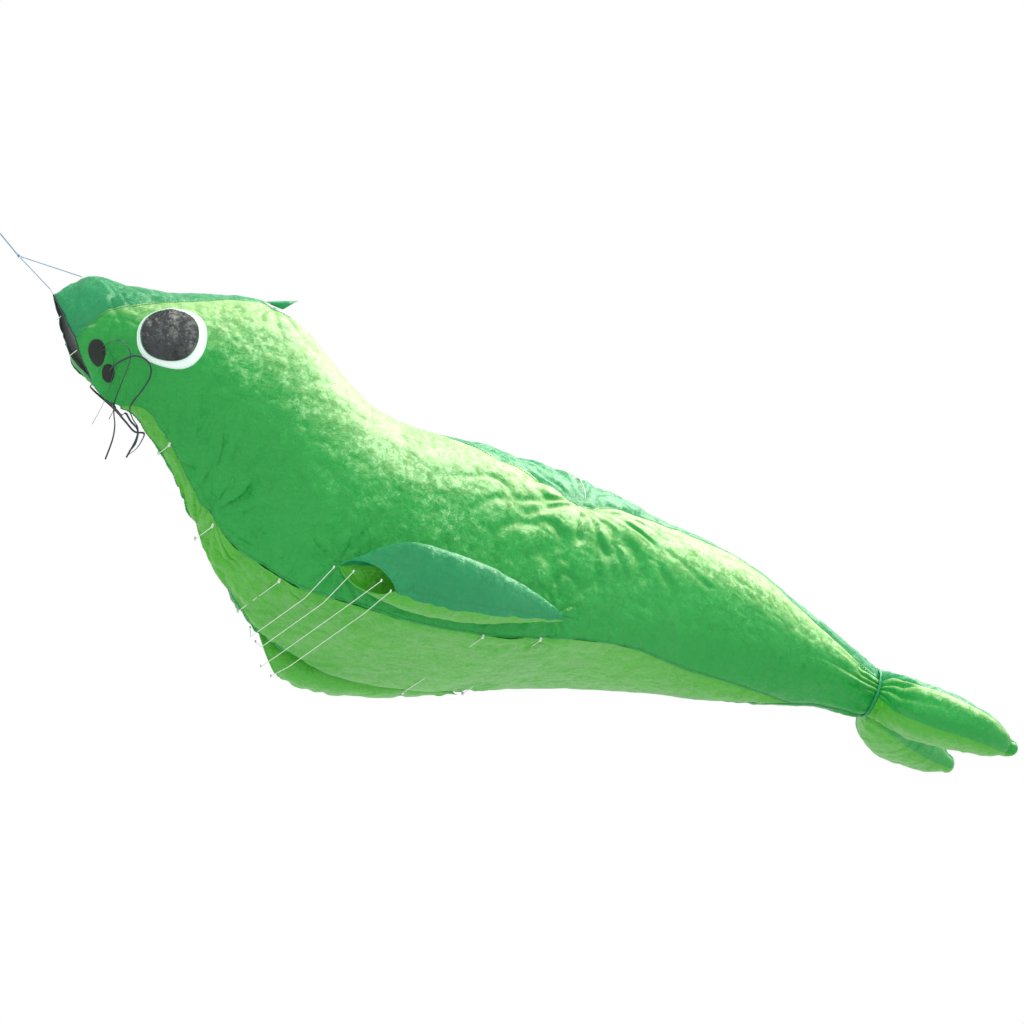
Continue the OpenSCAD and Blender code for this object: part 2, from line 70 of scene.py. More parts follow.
# %% Camera
NOSE = np.array([0.36, 0.0, -0.21])
VIEW_TURN = math.radians(-20)
VIEW_RISE = math.radians(-25)
VIEW_ROLL = math.radians(14)
CAMERA_FAR = 60.0
VIEW_WIDTH = 3.954
AIM = (1.904, -0.3815)

ct, st = math.cos(VIEW_TURN), math.sin(VIEW_TURN)
cr, sr = math.cos(VIEW_RISE), math.sin(VIEW_RISE)
back = Vector((st * cr, -ct * cr, sr))
flat_right = Vector((ct, st, 0))
flat_up = Vector((-st * sr, ct * sr, cr))
aim = Vector(NOSE) + AIM[0] * flat_right + AIM[1] * flat_up + 1.9 * st * cr * back
camera_right = math.cos(VIEW_ROLL) * flat_right + math.sin(VIEW_ROLL) * flat_up
camera_up = math.cos(VIEW_ROLL) * flat_up - math.sin(VIEW_ROLL) * flat_right

camera_data = bpy.data.cameras.new("camera")
camera_data.lens = camera_data.sensor_width * CAMERA_FAR / VIEW_WIDTH
camera_data.clip_end = 4 * CAMERA_FAR
camera = bpy.data.objects.new("camera", camera_data)
bpy.context.collection.objects.link(camera)
turn = Matrix((camera_right, camera_up, back)).transposed().to_4x4()
camera.matrix_world = Matrix.Translation(aim + CAMERA_FAR * back) @ turn
bpy.context.scene.camera = camera
print(f"lens {camera_data.lens:.0f} mm at {CAMERA_FAR:.0f} m")

# %% [markdown]
# ## Shader maths
#
# A finish is a small graph of nodes. Written out one node at a time it is hard to read, so
# one class wraps a socket and turns plus, minus, times and divide into Math nodes, and one
# method makes any other node from its type, its settings and its inputs.


# %% Shader maths
class Value:
    """A number that varies over the surface."""

    def __init__(self, finish, socket):
        self.finish = finish
        self.socket = socket

    def math(self, operation, first, second):
        inputs = {0: first, 1: second}
        return self.finish.node("ShaderNodeMath", {"operation": operation}, inputs)

    def __add__(self, other):
        return self.math("ADD", self, other)

    def __radd__(self, other):
        return self.math("ADD", other, self)

    def __sub__(self, other):
        return self.math("SUBTRACT", self, other)

    def __rsub__(self, other):
        return self.math("SUBTRACT", other, self)

    def __mul__(self, other):
        return self.math("MULTIPLY", self, other)

    def __rmul__(self, other):
        return self.math("MULTIPLY", other, self)

    def __truediv__(self, other):
        return self.math("DIVIDE", self, other)

    def __pow__(self, other):
        return self.math("POWER", self, other)


class Finish:
    """One material, with its Principled shader ready to be filled in."""

    def __init__(self, name):
        self.material = bpy.data.materials.new(name)
        self.material.use_nodes = True
        self.nodes = self.material.node_tree.nodes
        self.links = self.material.node_tree.links
        self.shader = self.nodes["Principled BSDF"]
        self.place = self.node("ShaderNodeTexCoord", {}, {}, "Object")

    def node(self, kind, settings, inputs, output=0):
        made = self.nodes.new(kind)
        for name, value in settings.items():
            setattr(made, name, value)
        for name, value in inputs.items():
            self.feed(made.inputs[name], value)
        return Value(self, made.outputs[output])

    def feed(self, socket, value):
        if isinstance(value, Value):
            self.links.new(value.socket, socket)
        else:
            socket.default_value = value

    def set(self, **inputs):
        for name, value in inputs.items():
            self.feed(self.shader.inputs[name.replace("_", " ").title()], value)
        return self

    def mix(self, share, first, second):
        """A colour between first, at share 0, and second, at share 1."""
        kind = {"data_type": "RGBA"}
        return self.node("ShaderNodeMix", kind, {0: share, 6: first, 7: second}, 2)

    def noise(self, size, detail=2.0, place=None):
        """Cloudy noise, 0 to 1, whose blotches are about size metres across."""
        inputs = {"Vector": place or self.place, "Scale": 1 / size, "Detail": detail}
        return self.node("ShaderNodeTexNoise", {}, inputs, 0)

    def bump(self, height, distance, strength=1.0, below=None):
        inputs = {"Height": height, "Distance": distance, "Strength": strength}
        if below is not None:
            inputs["Normal"] = below
        return self.node("ShaderNodeBump", {}, inputs)


def linear(red, green, blue):
    """A colour given as it looks, 0 to 255, as the shader needs it."""
    return tuple(((c / 255 + 0.055) / 1.055) ** 2.4 for c in (red, green, blue)) + (1.0,)


# %% [markdown]
# ## Finishes
#
# Kite nylon is thin, coated and slightly see-through. It never lies smooth: pressure leaves
# it covered in small flat facets with sharp creases between them, like crumpled foil. A
# Voronoi texture gives such facets: each cell has a random colour, and the dot product of
# that colour with the way to the cell's middle is a plane with a random tilt. Three sizes
# of facet on top of each other look like handled cloth. Light that comes through from the
# far side is painted: the cloth glows faintly in its own colour, and cloth that faces the
# sky is painted paler and yellower.


# %% Nylon
def facets(finish, size):
    """Height of crumpled facets about size metres across, in metres."""
    inputs = {"Vector": finish.place, "Scale": 1 / size}
    tex = finish.node("ShaderNodeTexVoronoi", {}, inputs, "Position")
    colour = Value(finish, tex.socket.node.outputs["Color"])
    way = finish.node("ShaderNodeVectorMath", {"operation": "SUBTRACT"},
                      {0: finish.place, 1: tex})
    tilt = finish.node("ShaderNodeVectorMath", {"operation": "SUBTRACT"},
                       {0: colour, 1: (0.5, 0.5, 0.5)})
    return finish.node("ShaderNodeVectorMath", {"operation": "DOT_PRODUCT"},
                       {0: way, 1: tilt}, "Value")


RIPSTOP_PITCH = 0.006


def ripstop(finish):
    """The raised grid of thicker threads in ripstop cloth, 0 to 1."""
    parts = finish.node("ShaderNodeSeparateXYZ", {}, {0: finish.place})
    lines = None
    for axis in ("X", "Z"):
        along = Value(finish, parts.socket.node.outputs[axis])
        wave = finish.node("ShaderNodeMath", {"operation": "SINE"},
                           {0: along * (2 * math.pi / RIPSTOP_PITCH)})
        sharp = finish.node("ShaderNodeMath", {"operation": "GREATER_THAN"},
                            {0: wave, 1: 0.93})
        lines = sharp if lines is None else lines + sharp
    return lines


def painted_sun_share(finish):
    """Share of painted sunlight: 0 where the cloth faces down or sideways, 1 where it faces the sky.
    """
    geometry = finish.node("ShaderNodeNewGeometry", {}, {}, "Normal")
    parts = finish.node("ShaderNodeSeparateXYZ", {}, {0: geometry})
    up = Value(finish, parts.socket.node.outputs["Z"])
    limits = {0: up, 1: -0.10, 2: 0.62, 3: 0.0, 4: 1.0}
    return finish.node("ShaderNodeMapRange", {"interpolation_type": "SMOOTHSTEP"}, limits)


def nylon(name, deep, pale, painted_glow, crumple=1.0, painted_sunlight=None):
    """Thin coated nylon: deep and pale are two tones of it, mixed in random blotches and faintly
    along the ripstop grid.

    The last argument is the colour painted on cloth that faces the sky: painted light, paler and
    yellower, standing for sun shining through thin cloth.
    """
    f = Finish(name)
    cloud = f.noise(0.35, 3)
    fine = f.noise(0.02, 3)
    grid = ripstop(f)
    share = cloud * 0.6 + fine * 0.3 + grid * 0.05
    colour = f.mix(share, deep, pale)
    # Painted sunlight: cloth that faces the sky is painted paler and yellower, in cloudy patches.
    if painted_sunlight:
        colour = f.mix(painted_sun_share(f) * (0.45 + fine * 0.35 + cloud * 0.45), colour, painted_sunlight)
    f.set(base_color=colour)
    f.set(roughness=0.34 + fine * 0.14)
    f.feed(f.shader.inputs["IOR"], 1.48)
    f.set(coat_weight=0.05 + fine * 0.1, coat_roughness=0.3)
    # Painted light: the cloth gives off a faint light of its own colour, standing for light shining
    # through it from the far side.
    f.feed(f.shader.inputs["Emission Color"], colour)
    f.set(emission_strength=painted_glow)
    sizes = ((0.060, 0.34), (0.024, 0.42), (0.011, 0.46), (0.005, 0.36))
    height = sum((facets(f, size) * weight for size, weight in sizes[1:]),
                 facets(f, sizes[0][0]) * sizes[0][1])
    patchy = 0.45 + f.noise(0.25, 2) * 1.1
    creased = f.bump(height * patchy, 1.0, 0.75 * crumple)
    f.set(normal=f.bump(grid, 0.0002, 0.3, creased))
    return f.material


# The leaf nylon is painted paler and yellower where it faces the sky: painted sunlight.
LEAF = nylon("leaf_nylon", linear(0, 142, 50), linear(14, 158, 58), 0.12,
             painted_sunlight=linear(146, 192, 116))
TEAL = nylon("teal_nylon", linear(0, 122, 66), linear(0, 158, 94), 0.10)
LIME = nylon("lime_nylon", linear(42, 148, 30), linear(84, 182, 48), 0.15)
WHITE = nylon("white_nylon", linear(206, 232, 222), linear(240, 252, 248), 0.10, 0.6)
PUPIL = nylon("pupil_nylon", linear(30, 36, 38), linear(66, 74, 76), 0.02, 2.4)
print("nylons:", LEAF.name, TEAL.name, LIME.name, WHITE.name, PUPIL.name)

# %% [markdown]
# Cords, webbing and ribbon are woven. Their threads are too thin to model, so a fine wave
# in the bump stands for them. The mouth is an open black net.


# %% Cord, ribbon and net
def woven(name, dark, light, thread, roughness):
    """Braid or webbing: thread is the width of one thread in metres."""
    f = Finish(name)
    wave = f.node("ShaderNodeTexWave", {"wave_type": "BANDS", "bands_direction": "DIAGONAL"},
                  {"Vector": f.place, "Scale": 0.3 / thread, "Distortion": 1.5}, 1)
    f.set(base_color=f.mix(wave * 0.6 + f.noise(0.01) * 0.4, dark, light))
    f.set(roughness=roughness + wave * 0.1, sheen_weight=0.3)
    f.set(normal=f.bump(wave, thread / 3, 0.6))
    return f.material


CORD = woven("white_cord", linear(196, 214, 196), linear(242, 250, 240), 0.0008, 0.55)
WEBBING = woven("white_webbing", linear(190, 205, 190), linear(240, 246, 240), 0.0010, 0.6)
BRIDLE = woven("bridle_cord", linear(52, 98, 138), linear(150, 190, 214), 0.0009, 0.45)
RIBBON = woven("whisker_ribbon", linear(4, 14, 16), linear(16, 44, 66), 0.0012, 0.4)
FELT = woven("black_felt", linear(3, 14, 9), linear(14, 36, 24), 0.0015, 0.7)
NET = woven("black_mesh", linear(2, 16, 10), linear(6, 40, 26), 0.0020, 0.6)
print("woven:", CORD.name, WEBBING.name, BRIDLE.name, RIBBON.name, FELT.name, NET.name)

# %% [markdown]
# ## Meshes from grids
#
# A sewn panel is a grid: stations run along it and steps run across it. One helper turns
# an array of points into a mesh object, smooth shaded, with its faces turned outward.


# %% Grid helper
def add_mesh(name, points, faces, material):
    mesh = bpy.data.meshes.new(name)
    mesh.from_pydata([tuple(p) for p in points], [], faces)
    mesh.update()
    mesh.polygons.foreach_set("use_smooth", [True] * len(mesh.polygons))
    mesh.materials.append(material)
    made = bpy.data.objects.new(name, mesh)
    bpy.context.collection.objects.link(made)
    return made


def grid_mesh(name, grid, material, flip=False):
    """A sheet of quads through grid, an array of stations by steps by three."""
    rows, steps = grid.shape[:2]
    number = np.arange(rows * steps).reshape(rows, steps)
    a, b = number[:-1, :-1], number[1:, :-1]
    c, d = number[1:, 1:], number[:-1, 1:]
    order = (a, d, c, b) if flip else (a, b, c, d)
    faces = np.stack([n.ravel() for n in order], axis=1).tolist()
    return add_mesh(name, grid.reshape(-1, 3), faces, material)


def settle(piece, node, rides):
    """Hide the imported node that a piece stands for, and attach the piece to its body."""
    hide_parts(node)
    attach(piece, rides)


def grid_area(grid):
    """Area of a grid of points, and its middle length and widest width."""
    one = np.cross(grid[1:, 1:] - grid[:-1, :-1], grid[1:, :-1] - grid[:-1, 1:])
    across = np.linalg.norm(np.diff(grid, axis=1), axis=2).sum(axis=1)
    along = np.linalg.norm(np.diff(grid, axis=0), axis=2).sum(axis=0)
    return np.linalg.norm(one, axis=2).sum() / 2, along.max(), across.max()


# %% [markdown]
# Cords, ribbons, hems and tabs all follow a path. One helper sweeps an oval or flat section
# along it: it carries a sideways direction from point to point, so the tube never twists
# unless a twist is asked for.


# %% Sweep helper
def smooth_path(points, steps):
    """Points on a smooth curve through the given ones."""
    points = np.asarray(points, float)
    s = np.linspace(0, len(points) - 1, (len(points) - 1) * steps + 1)
    return np.stack([pick(points, s, c) for c in range(3)], axis=-1)


def pick(rows, s, column):
    """Smooth value of a column at row position s."""
    s = np.asarray(s, float)
    i = np.clip(np.floor(s).astype(int), 0, len(rows) - 2)
    t = s - i
    c = rows[:, column]
    p0, p1 = c[np.maximum(i - 1, 0)], c[i]
    p2, p3 = c[i + 1], c[np.minimum(i + 2, len(rows) - 1)]
    return 0.5 * (2 * p1 + (p2 - p0) * t + (2 * p0 - 5 * p1 + 4 * p2 - p3) * t**2
                  + (3 * p1 - p0 - 3 * p2 + p3) * t**3)


def sweep(name, path, wide, thick, material, twist=0.0, sides=10, side=(0, 1, 0)):
    """A closed tube wide by thick along path. twist is in turns over the whole path."""
    path = np.asarray(path, float)
    ahead = np.gradient(path, axis=0)
    ahead /= np.linalg.norm(ahead, axis=1, keepdims=True)
    across = np.asarray(side, float)
    rings = []
    for k, (at, way) in enumerate(zip(path, ahead)):
        across = across - way * (across @ way)
        across = across / np.linalg.norm(across)
        up = np.cross(way, across)
        turn = 2 * np.pi * (np.arange(sides) / sides)
        roll = 2 * np.pi * twist * k / len(path)
        x, y = np.cos(turn) * wide / 2, np.sin(turn) * thick / 2
        x, y = x * np.cos(roll) - y * np.sin(roll), x * np.sin(roll) + y * np.cos(roll)
        rings.append(at + x[:, None] * across + y[:, None] * up)
    points = np.concatenate(rings)
    faces = [list(range(sides))[::-1], [len(points) - sides + k for k in range(sides)]]
    for i in range(len(path) - 1):
        for k in range(sides):
            a, b = i * sides + k, i * sides + (k + 1) % sides
            faces.append([a, b, b + sides, a + sides])
    return add_mesh(name, points, faces, material)


def path_length(path):
    return float(np.linalg.norm(np.diff(np.asarray(path), axis=0), axis=1).sum())


# %% [markdown]
# ## Noise
#
# Folds need a random but repeatable shape. This noise puts a hashed value on each corner of
# a lattice and blends between them. Its absolute value has sharp valleys, which is how a
# crease looks between two puffed areas.


# %% Noise
def hashed(i, j, k, seed):
    n = (i * 73856093) ^ (j * 19349663) ^ (k * 83492791) ^ (seed * 2654435761)
    n = (n ^ (n >> 13)) * 1274126177
    return ((n ^ (n >> 16)) & 0xFFFF) / 32767.5 - 1


def noise(points, size, seed):
    """Smooth noise from -1 to 1. size is one number, or one for each axis."""
    q = points / np.asarray(size)
    cell = np.floor(q).astype(np.int64)
    f = q - cell
    f = f * f * (3 - 2 * f)
    total = 0
    for corner in range(8):
        step = np.array([corner & 1, corner >> 1 & 1, corner >> 2 & 1])
        weight = np.prod(np.where(step, f, 1 - f), axis=-1)
        at = cell + step
        total = total + weight * hashed(at[..., 0], at[..., 1], at[..., 2], seed)
    return total


def noise_line(t, seed):
    """Noise along one number."""
    t = np.asarray(t, float)
    return noise(np.stack([t, 0 * t, 0 * t], axis=-1), 1.0, seed)


def crease(values):
    """Puffed areas with sharp valleys between them, from -1 to 1."""
    return 1 - 2 * np.abs(1 - np.minimum(1, np.abs(values) * 2.2))


# %% [markdown]
# ## Sections of the body
#
# The body is a row of sections. Each one has a top point, a bottom point, a half width, the
# half width of the belly and the angle of the spine seam. The upper half of a section is an
# ellipse. The lower half is part of one, which ends at the belly seam, because the cross
# ties hold the belly flat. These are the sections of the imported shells, in millimetres from
# the nose tip, so the cloth lies on them.

# %% Sections
BODY_ROWS = np.array([
    [0, 0, 250, -275, 44, 0, 96],
    [22, 24, 285, -312, 90, 0, 84],
    [115, 118, 325, -325, 138, 0, 72],
    [250, 142, 385, -330, 190, 20, 60],
    [400, 168, 480, -335, 228, 52, 46],
    [560, 228, 590, -420, 256, 48, 36],
    [700, 280, 690, -512, 280, 44, 28],
    [800, 297, 790, -642, 305, 66, 23],
    [900, 278, 890, -732, 335, 100, 21],
    [1000, 237, 1000, -785, 362, 142, 20],
    [1120, 150, 1120, -848, 395, 195, 20],
    [1250, 63, 1250, -872, 430, 255, 20],
    [1400, 22, 1400, -880, 450, 312, 21],
    [1580, 35, 1580, -880, 460, 350, 28],
    [1750, 62, 1750, -852, 460, 360, 41],
    [2000, 83, 2000, -784, 440, 358, 54],
    [2170, 90, 2170, -710, 420, 345, 60],
    [2350, 85, 2350, -638, 390, 318, 52],
    [2560, 75, 2560, -572, 345, 262, 44],
    [2800, 80, 2800, -522, 300, 163, 33],
    [3000, 58, 3000, -482, 260, 115, 34],
    [3180, 8, 3180, -438, 210, 58, 41],
    [3320, -30, 3320, -402, 168, 4, 48],
    [3450, -66, 3450, -360, 130, 0, 56],
    [3600, -110, 3600, -338, 92, 0, 66],
    [3645, -124, 3645, -326, 86, 0, 68]], float)
MM = 0.001
LAST = len(BODY_ROWS) - 1
BELLY_FIRST, BELLY_LAST = 3, 22


def body(s, column):
    return pick(BODY_ROWS, s, column)


def belly_half(s):
    inside = (s >= BELLY_FIRST) & (s <= BELLY_LAST)
    return np.where(inside, np.maximum(0, body(s, 5)), 0)


def low_angle(s):
    return 90 - 25 * np.minimum(1, belly_half(s) / 100)


def chin(s):
    """How strongly a section is pinched below its widest point."""
    return np.interp(s, [2, 5, 8, 10], [3.2, 1.8, 1.8, 1.0])


def ring(s, a):
    """Point of the body at station s and angle a, from 0 on the back, in metres."""
    s, a = np.broadcast_arrays(np.asarray(s, float), np.asarray(a, float))
    tx, tz, bx, bz, w = (body(s, c) for c in range(5))
    half, end = belly_half(s), np.radians(low_angle(s))
    low = np.radians(np.maximum(0, a - 90))
    r = np.radians(a)
    q = np.where(a < 90, 0.5 - 0.5 * np.cos(r), 0.5 + 0.5 * np.sin(low) / np.sin(end))
    fade = np.maximum(0, (np.cos(low) - np.cos(end)) / (1 - np.cos(end)))
    y = np.where(a < 90, w * np.sin(r), half + (w - half) * fade**chin(s))
    y = y * (1 - 0.8 * np.maximum(0, 1 - s / 2) * np.maximum(0, 1 - q / 0.62))
    cheek = 34 * np.maximum(0, 1 - s / 3) * np.sin(np.minimum(r, np.pi))**2 * np.sin(r / 2)
    return np.stack([tx + (bx - tx) * q - cheek, y, tz + (bz - tz) * q], axis=-1) * MM


def heart(s):
    """Middle of a section, set back behind the mouth."""
    s = np.asarray(s, float)
    x = (body(s, 0) + body(s, 2)) / 2 + 60 * np.maximum(0, 3 - s)
    return np.stack([x, 0 * s, (body(s, 1) + body(s, 3)) / 2], axis=-1) * MM


def sided(points, sign):
    """Points of the right side, mirrored to the left one where sign is negative."""
    return points * np.array([1.0, sign, 1.0])


def unit(v):
    return v / np.linalg.norm(v, axis=-1, keepdims=True)


DENSE = np.linspace(0, LAST, 800)
_mid = ring(DENSE, 80)
LENGTH = np.concatenate([[0], np.cumsum(np.linalg.norm(np.diff(_mid, axis=0), axis=1))])


def along(s):
    """Distance along the side of the body at station s."""
    return np.interp(s, DENSE, LENGTH)


print(f"the body's side is {LENGTH[-1]:.2f} m long")

# %% [markdown]
# ## Cords
#
# The whiskers are flat ribbons that hang free. Every other cord is pulled straight: the
# ties hold two seams together across the belly, and the bridle leads from the nose to the
# knot. The four ties between the flippers' mouths bend round the belly, so each one is made
# as two halves, which ride no body. Lengths are measured on the routes that the imported
# model draws.

# %% Whiskers
WHISKER_ROUTES = {
    "left_whisker_1":
        [(204, -108, -186), (211, -133, -174), (227, -158, -162), (247, -176, -156),
         (281, -185, -171), (308, -172, -199), (321, -137, -235), (328, -94, -269),
         (336, -52, -304), (341, -27, -329), (349, -27, -378), (365, -27, -424), (371, -27, -483),
         (363, -27, -574)],
    "left_whisker_2":
        [(207, -104, -192), (228, -122, -189), (259, -115, -209), (283, -91, -239),
         (297, -53, -277), (305, -21, -315), (299, -21, -362), (289, -21, -410), (278, -21, -454)],
    "left_whisker_3":
        [(273, -75, -242), (272, -119, -235), (285, -160, -222), (312, -195, -205),
         (348, -210, -204), (386, -203, -221), (404, -174, -252), (404, -122, -291),
         (397, -80, -323), (389, -80, -362), (411, -80, -396), (440, -80, -424), (444, -80, -475),
         (425, -80, -558)],
    "right_whisker_1":
        [(202, 93, -205), (216, 122, -191), (259, 135, -201), (308, 121, -238), (351, 85, -279),
         (380, 57, -315), (355, 40, -308), (364, 34, -338), (355, 30, -382)],
    "right_whisker_2":
        [(190, 98, -193), (201, 152, -163), (261, 189, -160), (347, 177, -225), (397, 117, -288),
         (415, 79, -322), (418, 42, -326), (446, 42, -349), (482, 40, -374), (485, 36, -431),
         (468, 34, -474)],
    "right_whisker_3":
        [(273, 64, -253), (278, 121, -237), (324, 193, -216), (413, 196, -249), (459, 142, -310),
         (489, 96, -357), (515, 58, -367), (513, 54, -400), (499, 50, -442), (466, 46, -493)]}
RIBBON_WIDE = 0.008
for name, route in WHISKER_ROUTES.items():
    path = smooth_path(np.array(route) * MM, 10) + NOSE
    piece = sweep(name + "_ribbon", path, RIBBON_WIDE, 0.0016, RIBBON, twist=0.1, sides=10)
    settle(piece, name, "body")
    print(f"{piece.name}: {path_length(path):.2f} m")


# %% Ties
SIDES = (("right", 1.0), ("left", -1.0))


def tie(name, points, node, diameter=0.003, material=CORD,
        steps=12, rides="body"):
    """A taut cord through points, in metres. It rides one body, or none."""
    corners = np.asarray(points, float)
    path = np.concatenate([np.linspace(a, b, steps, endpoint=False)
                           for a, b in zip(corners[:-1], corners[1:])] + [corners[-1:]])
    piece = sweep(name, path, diameter, diameter, material, sides=8, side=(0.3, 0.2, 1))
    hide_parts(node)
    if rides:
        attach(piece, rides)
    return piece


TIE_DROP = 0.007


def seam_low(s):
    """The right belly seam at station s, a tie's thickness below the cloth."""
    return ring(s, 90 + low_angle(s)) + [0, 0, -TIE_DROP]


THROAT_S, CHEST_S, BELLY_TIE_S, SPINE_S = 5, 7.4, (9.9, 14.6, 15.8), 16
cross_ties = [("throat_cord", THROAT_S, "throat_tie"), ("chest_cord", CHEST_S, "chest_tie")]
cross_ties += [(f"belly_cord_{k + 1}", s, "belly_ties") for k, s in enumerate(BELLY_TIE_S)]
for name, s, node in cross_ties:
    end = seam_low(s)
    tie(name, [NOSE + end, NOSE + sided(end, -1.0)], node)
over = [ring(SPINE_S, k * body(SPINE_S, 6)) for k in np.linspace(1, 0, 9)]
over = [p + unit(p - heart(SPINE_S)) * 0.009 for p in over]
over = over + [sided(p, -1.0) for p in over[-2::-1]]
tie("spine_cord", np.array(over) + NOSE, "spine_tie", steps=4)

FLIPPER_TIES = np.array([
    [1240, 385, -800, 1205, 250, -900],
    [1298, 450, -816, 1270, 285, -905],
    [1380, 552, -856, 1345, 320, -908],
    [1428, 548, -880, 1420, 340, -908]], float) * MM
for number, row in enumerate(FLIPPER_TIES, 1):
    for side, sign in SIDES:
        lip, low = sided(row[:3], sign) + NOSE, sided(row[3:], sign) + NOSE
        piece = tie(f"{side}_half_of_tie_{number}", [lip, low, low * [1, 0, 1]],
                    f"flipper_tie_{number}", rides=None)
        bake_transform(piece)

# %% Bridle and tow line
KNOT = NOSE + np.array([-0.173, 0, 0.096])
NOSE_TAB = NOSE + np.array([-0.003, 0, 0.011])
SNOUT_TAB = NOSE + np.array([0.108, 0, 0.120])


def toward(a, b, gap):
    return a + unit(np.asarray(b, float) - a) * gap


for name, start, gap, node in (("lower_leg", NOSE_TAB, 0.014, "lower_bridle_leg"),
                               ("upper_leg", SNOUT_TAB, 0.015, "upper_bridle_leg")):
    tie(name, [toward(start, KNOT, gap), toward(KNOT, start, 0.009)], node, 0.004,
                BRIDLE, steps=24)
tie("tow_cord", [toward(KNOT, np.zeros(3), 0.009), toward(np.zeros(3), KNOT, 0.019)],
            "tow_line", 0.006, BRIDLE, steps=24)
turn = np.linspace(0, 2 * np.pi, 97)
around = np.stack([np.cos(turn), 0 * turn, np.sin(turn)], -1) * 0.015
loop = sweep("loop_cord", around, 0.0058, 0.0058, BRIDLE, sides=12)
settle(loop, "tow_loop", "body")
turn = np.linspace(0, 2 * np.pi, 160)
trefoil = np.stack([np.sin(turn) + 2 * np.sin(2 * turn), -np.sin(3 * turn) * 1.1,
                    np.cos(turn) - 2 * np.cos(2 * turn)], -1) * 0.0020
knot = sweep("overhand_knot", trefoil + KNOT, 0.0040, 0.0040, BRIDLE, sides=10)
settle(knot, "bridle_knot", "body")
print("cords:", len(WHISKER_ROUTES), "whiskers,", len(cross_ties) + 1, "cross ties,",
      len(FLIPPER_TIES), "flipper ties and the bridle")

# %% [markdown]
# ## What pressure does to the cloth
#
# Between the seams the cloth swells, and at a seam it stays low, because the stitching
# takes up length: short puckers stand across every seam. Where a tie pulls on a seam the
# cloth sinks, and sharp folds run out from it like rays. At the waist the whole body is
# gathered, so folds run along it. All of this is one distance, in or out, that depends only
# on the place and on the nearest seam, so two panels agree along the seam that they share.

# %% Pull points
# [x, y, z from the nose tip in mm, sink mm, reach mm, height of the rays mm, rays]
PULLS = [
    [817, 78, -667, 26, 330, 12, 19],
    [590, 48, -420, 10, 170, 7, 11],
    [1110, 190, -846, 12, 190, 7, 13],
    [2170, 364, -105, 26, 360, 12, 21],
    [835, 128, 255, 7, 220, 7, 15],
    [1262, 372, -778, 8, 200, 8, 15],
    [1455, 345, -880, 2, 160, 6, 11],
    [1830, 430, -665, 4, 170, 6, 11],
    [2160, 460, -680, 6, 200, 8, 15],
    [2104, 350, -742, 6, 150, 5, 11],
    [115, 0, 118, -4, 190, 6, 13],
    [60, 40, -135, 3, 120, 4, 9],
    [240, 100, -215, -4, 110, 5, 9]]


def pull_folds(p):
    """Sinks and rays round the points where cords and pieces pull on the cloth."""
    total = np.zeros(p.shape[:-1])
    mirror = np.array([1.0, -1.0, 1.0])
    for number, row in enumerate(PULLS):
        x, y, z, sink, reach, height, rays = row
        for side in ((1.0, mirror) if y else (1.0,)):
            middle = np.array([x, y, z]) * MM * side
            out = unit((middle - heart(BODY_ROWS[:, 0].searchsorted(x)))[None, :])[0]
            first = unit(np.cross(out, [1.0, 0.2, 0.1])[None, :])[0]
            second = np.cross(out, first)
            d = p - middle
            r = np.linalg.norm(d, axis=-1)
            turn = np.arctan2(d @ second, d @ first)
            spread = np.stack([np.cos(turn), np.sin(turn), 0 * turn + r / reach / MM * 0.5], -1)
            ray = crease(noise(spread, 4.2 / rays, 40 + number))
            size = r / (reach * MM)
            fade = 2.7 * size * 2.2 * np.exp(-2.2 * size)
            total += height * MM * ray * fade * (0.6 + 0.4 * noise(p, 0.1, 90 + number))
            total -= sink * MM * np.exp(-(r / (0.3 * reach * MM))**2)
    return total


# %% Puckers, gathers and crinkles
SEAM_SINK = 0.007
SEAM_WIDE = 0.022
PUCKER = 0.0045
PUCKER_REACH = 0.055
WAIST_X, WAIST_Z = 3.645, -0.222


def puckers(length, seam):
    """Short folds across a seam, seam metres away, at length along it."""
    fold = noise_line(length / 0.021, 7) * 0.6 + noise_line(length / 0.05, 8) * 0.7
    strong = 0.55 + 0.45 * noise_line(length / 0.3, 9)
    lift = PUCKER * fold * strong * np.exp(-seam / PUCKER_REACH) * (0.35 + seam / 0.03)
    return np.minimum(lift, 2 * PUCKER) - SEAM_SINK * np.exp(-seam / SEAM_WIDE)


def gathers(p):
    """Folds that run out of the waist, both ways."""
    turn = np.arctan2(p[..., 1], p[..., 2] - WAIST_Z)
    far = np.abs(p[..., 0] - WAIST_X)
    spread = np.stack([np.cos(turn), np.sin(turn), far * 1.2], -1)
    fold = crease(noise(spread, 0.26, 17))
    near = np.exp(-far / 0.16) * np.minimum(1, 0.25 + far / 0.07)
    return 0.0085 * fold * near - 0.006 * np.exp(-far / 0.012)


def crinkles(p, scale=1.0):
    """Folds of loose cloth: long ones round the body, and small ones everywhere."""
    warp = p + 0.02 * np.stack([noise(p, 0.12, n) for n in (21, 22, 23)], -1)
    loose = 0.5 + 0.5 * noise(p, 0.6, 30)
    long_folds = crease(noise(warp, (0.085, 0.42, 0.42), 31))
    cross_folds = crease(noise(warp, (0.36, 0.11, 0.11), 32))
    small = crease(noise(warp, 0.045, 33))
    tiny = crease(noise(warp, 0.021, 34))
    return scale * (0.0026 * long_folds * loose + 0.0018 * cross_folds * (1 - loose)
                    + 0.0011 * small + 0.0005 * tiny + 0.005 * noise(p, 0.4, 35))


def lifted(p, s, seam):
    """Body points moved to where the cloth really is."""
    lift = puckers(along(s), seam) + gathers(p) + pull_folds(p)
    lift = lift + crinkles(p) * (1 - np.exp(-seam / 0.02))
    return p + unit(p - heart(s)) * lift[..., None]


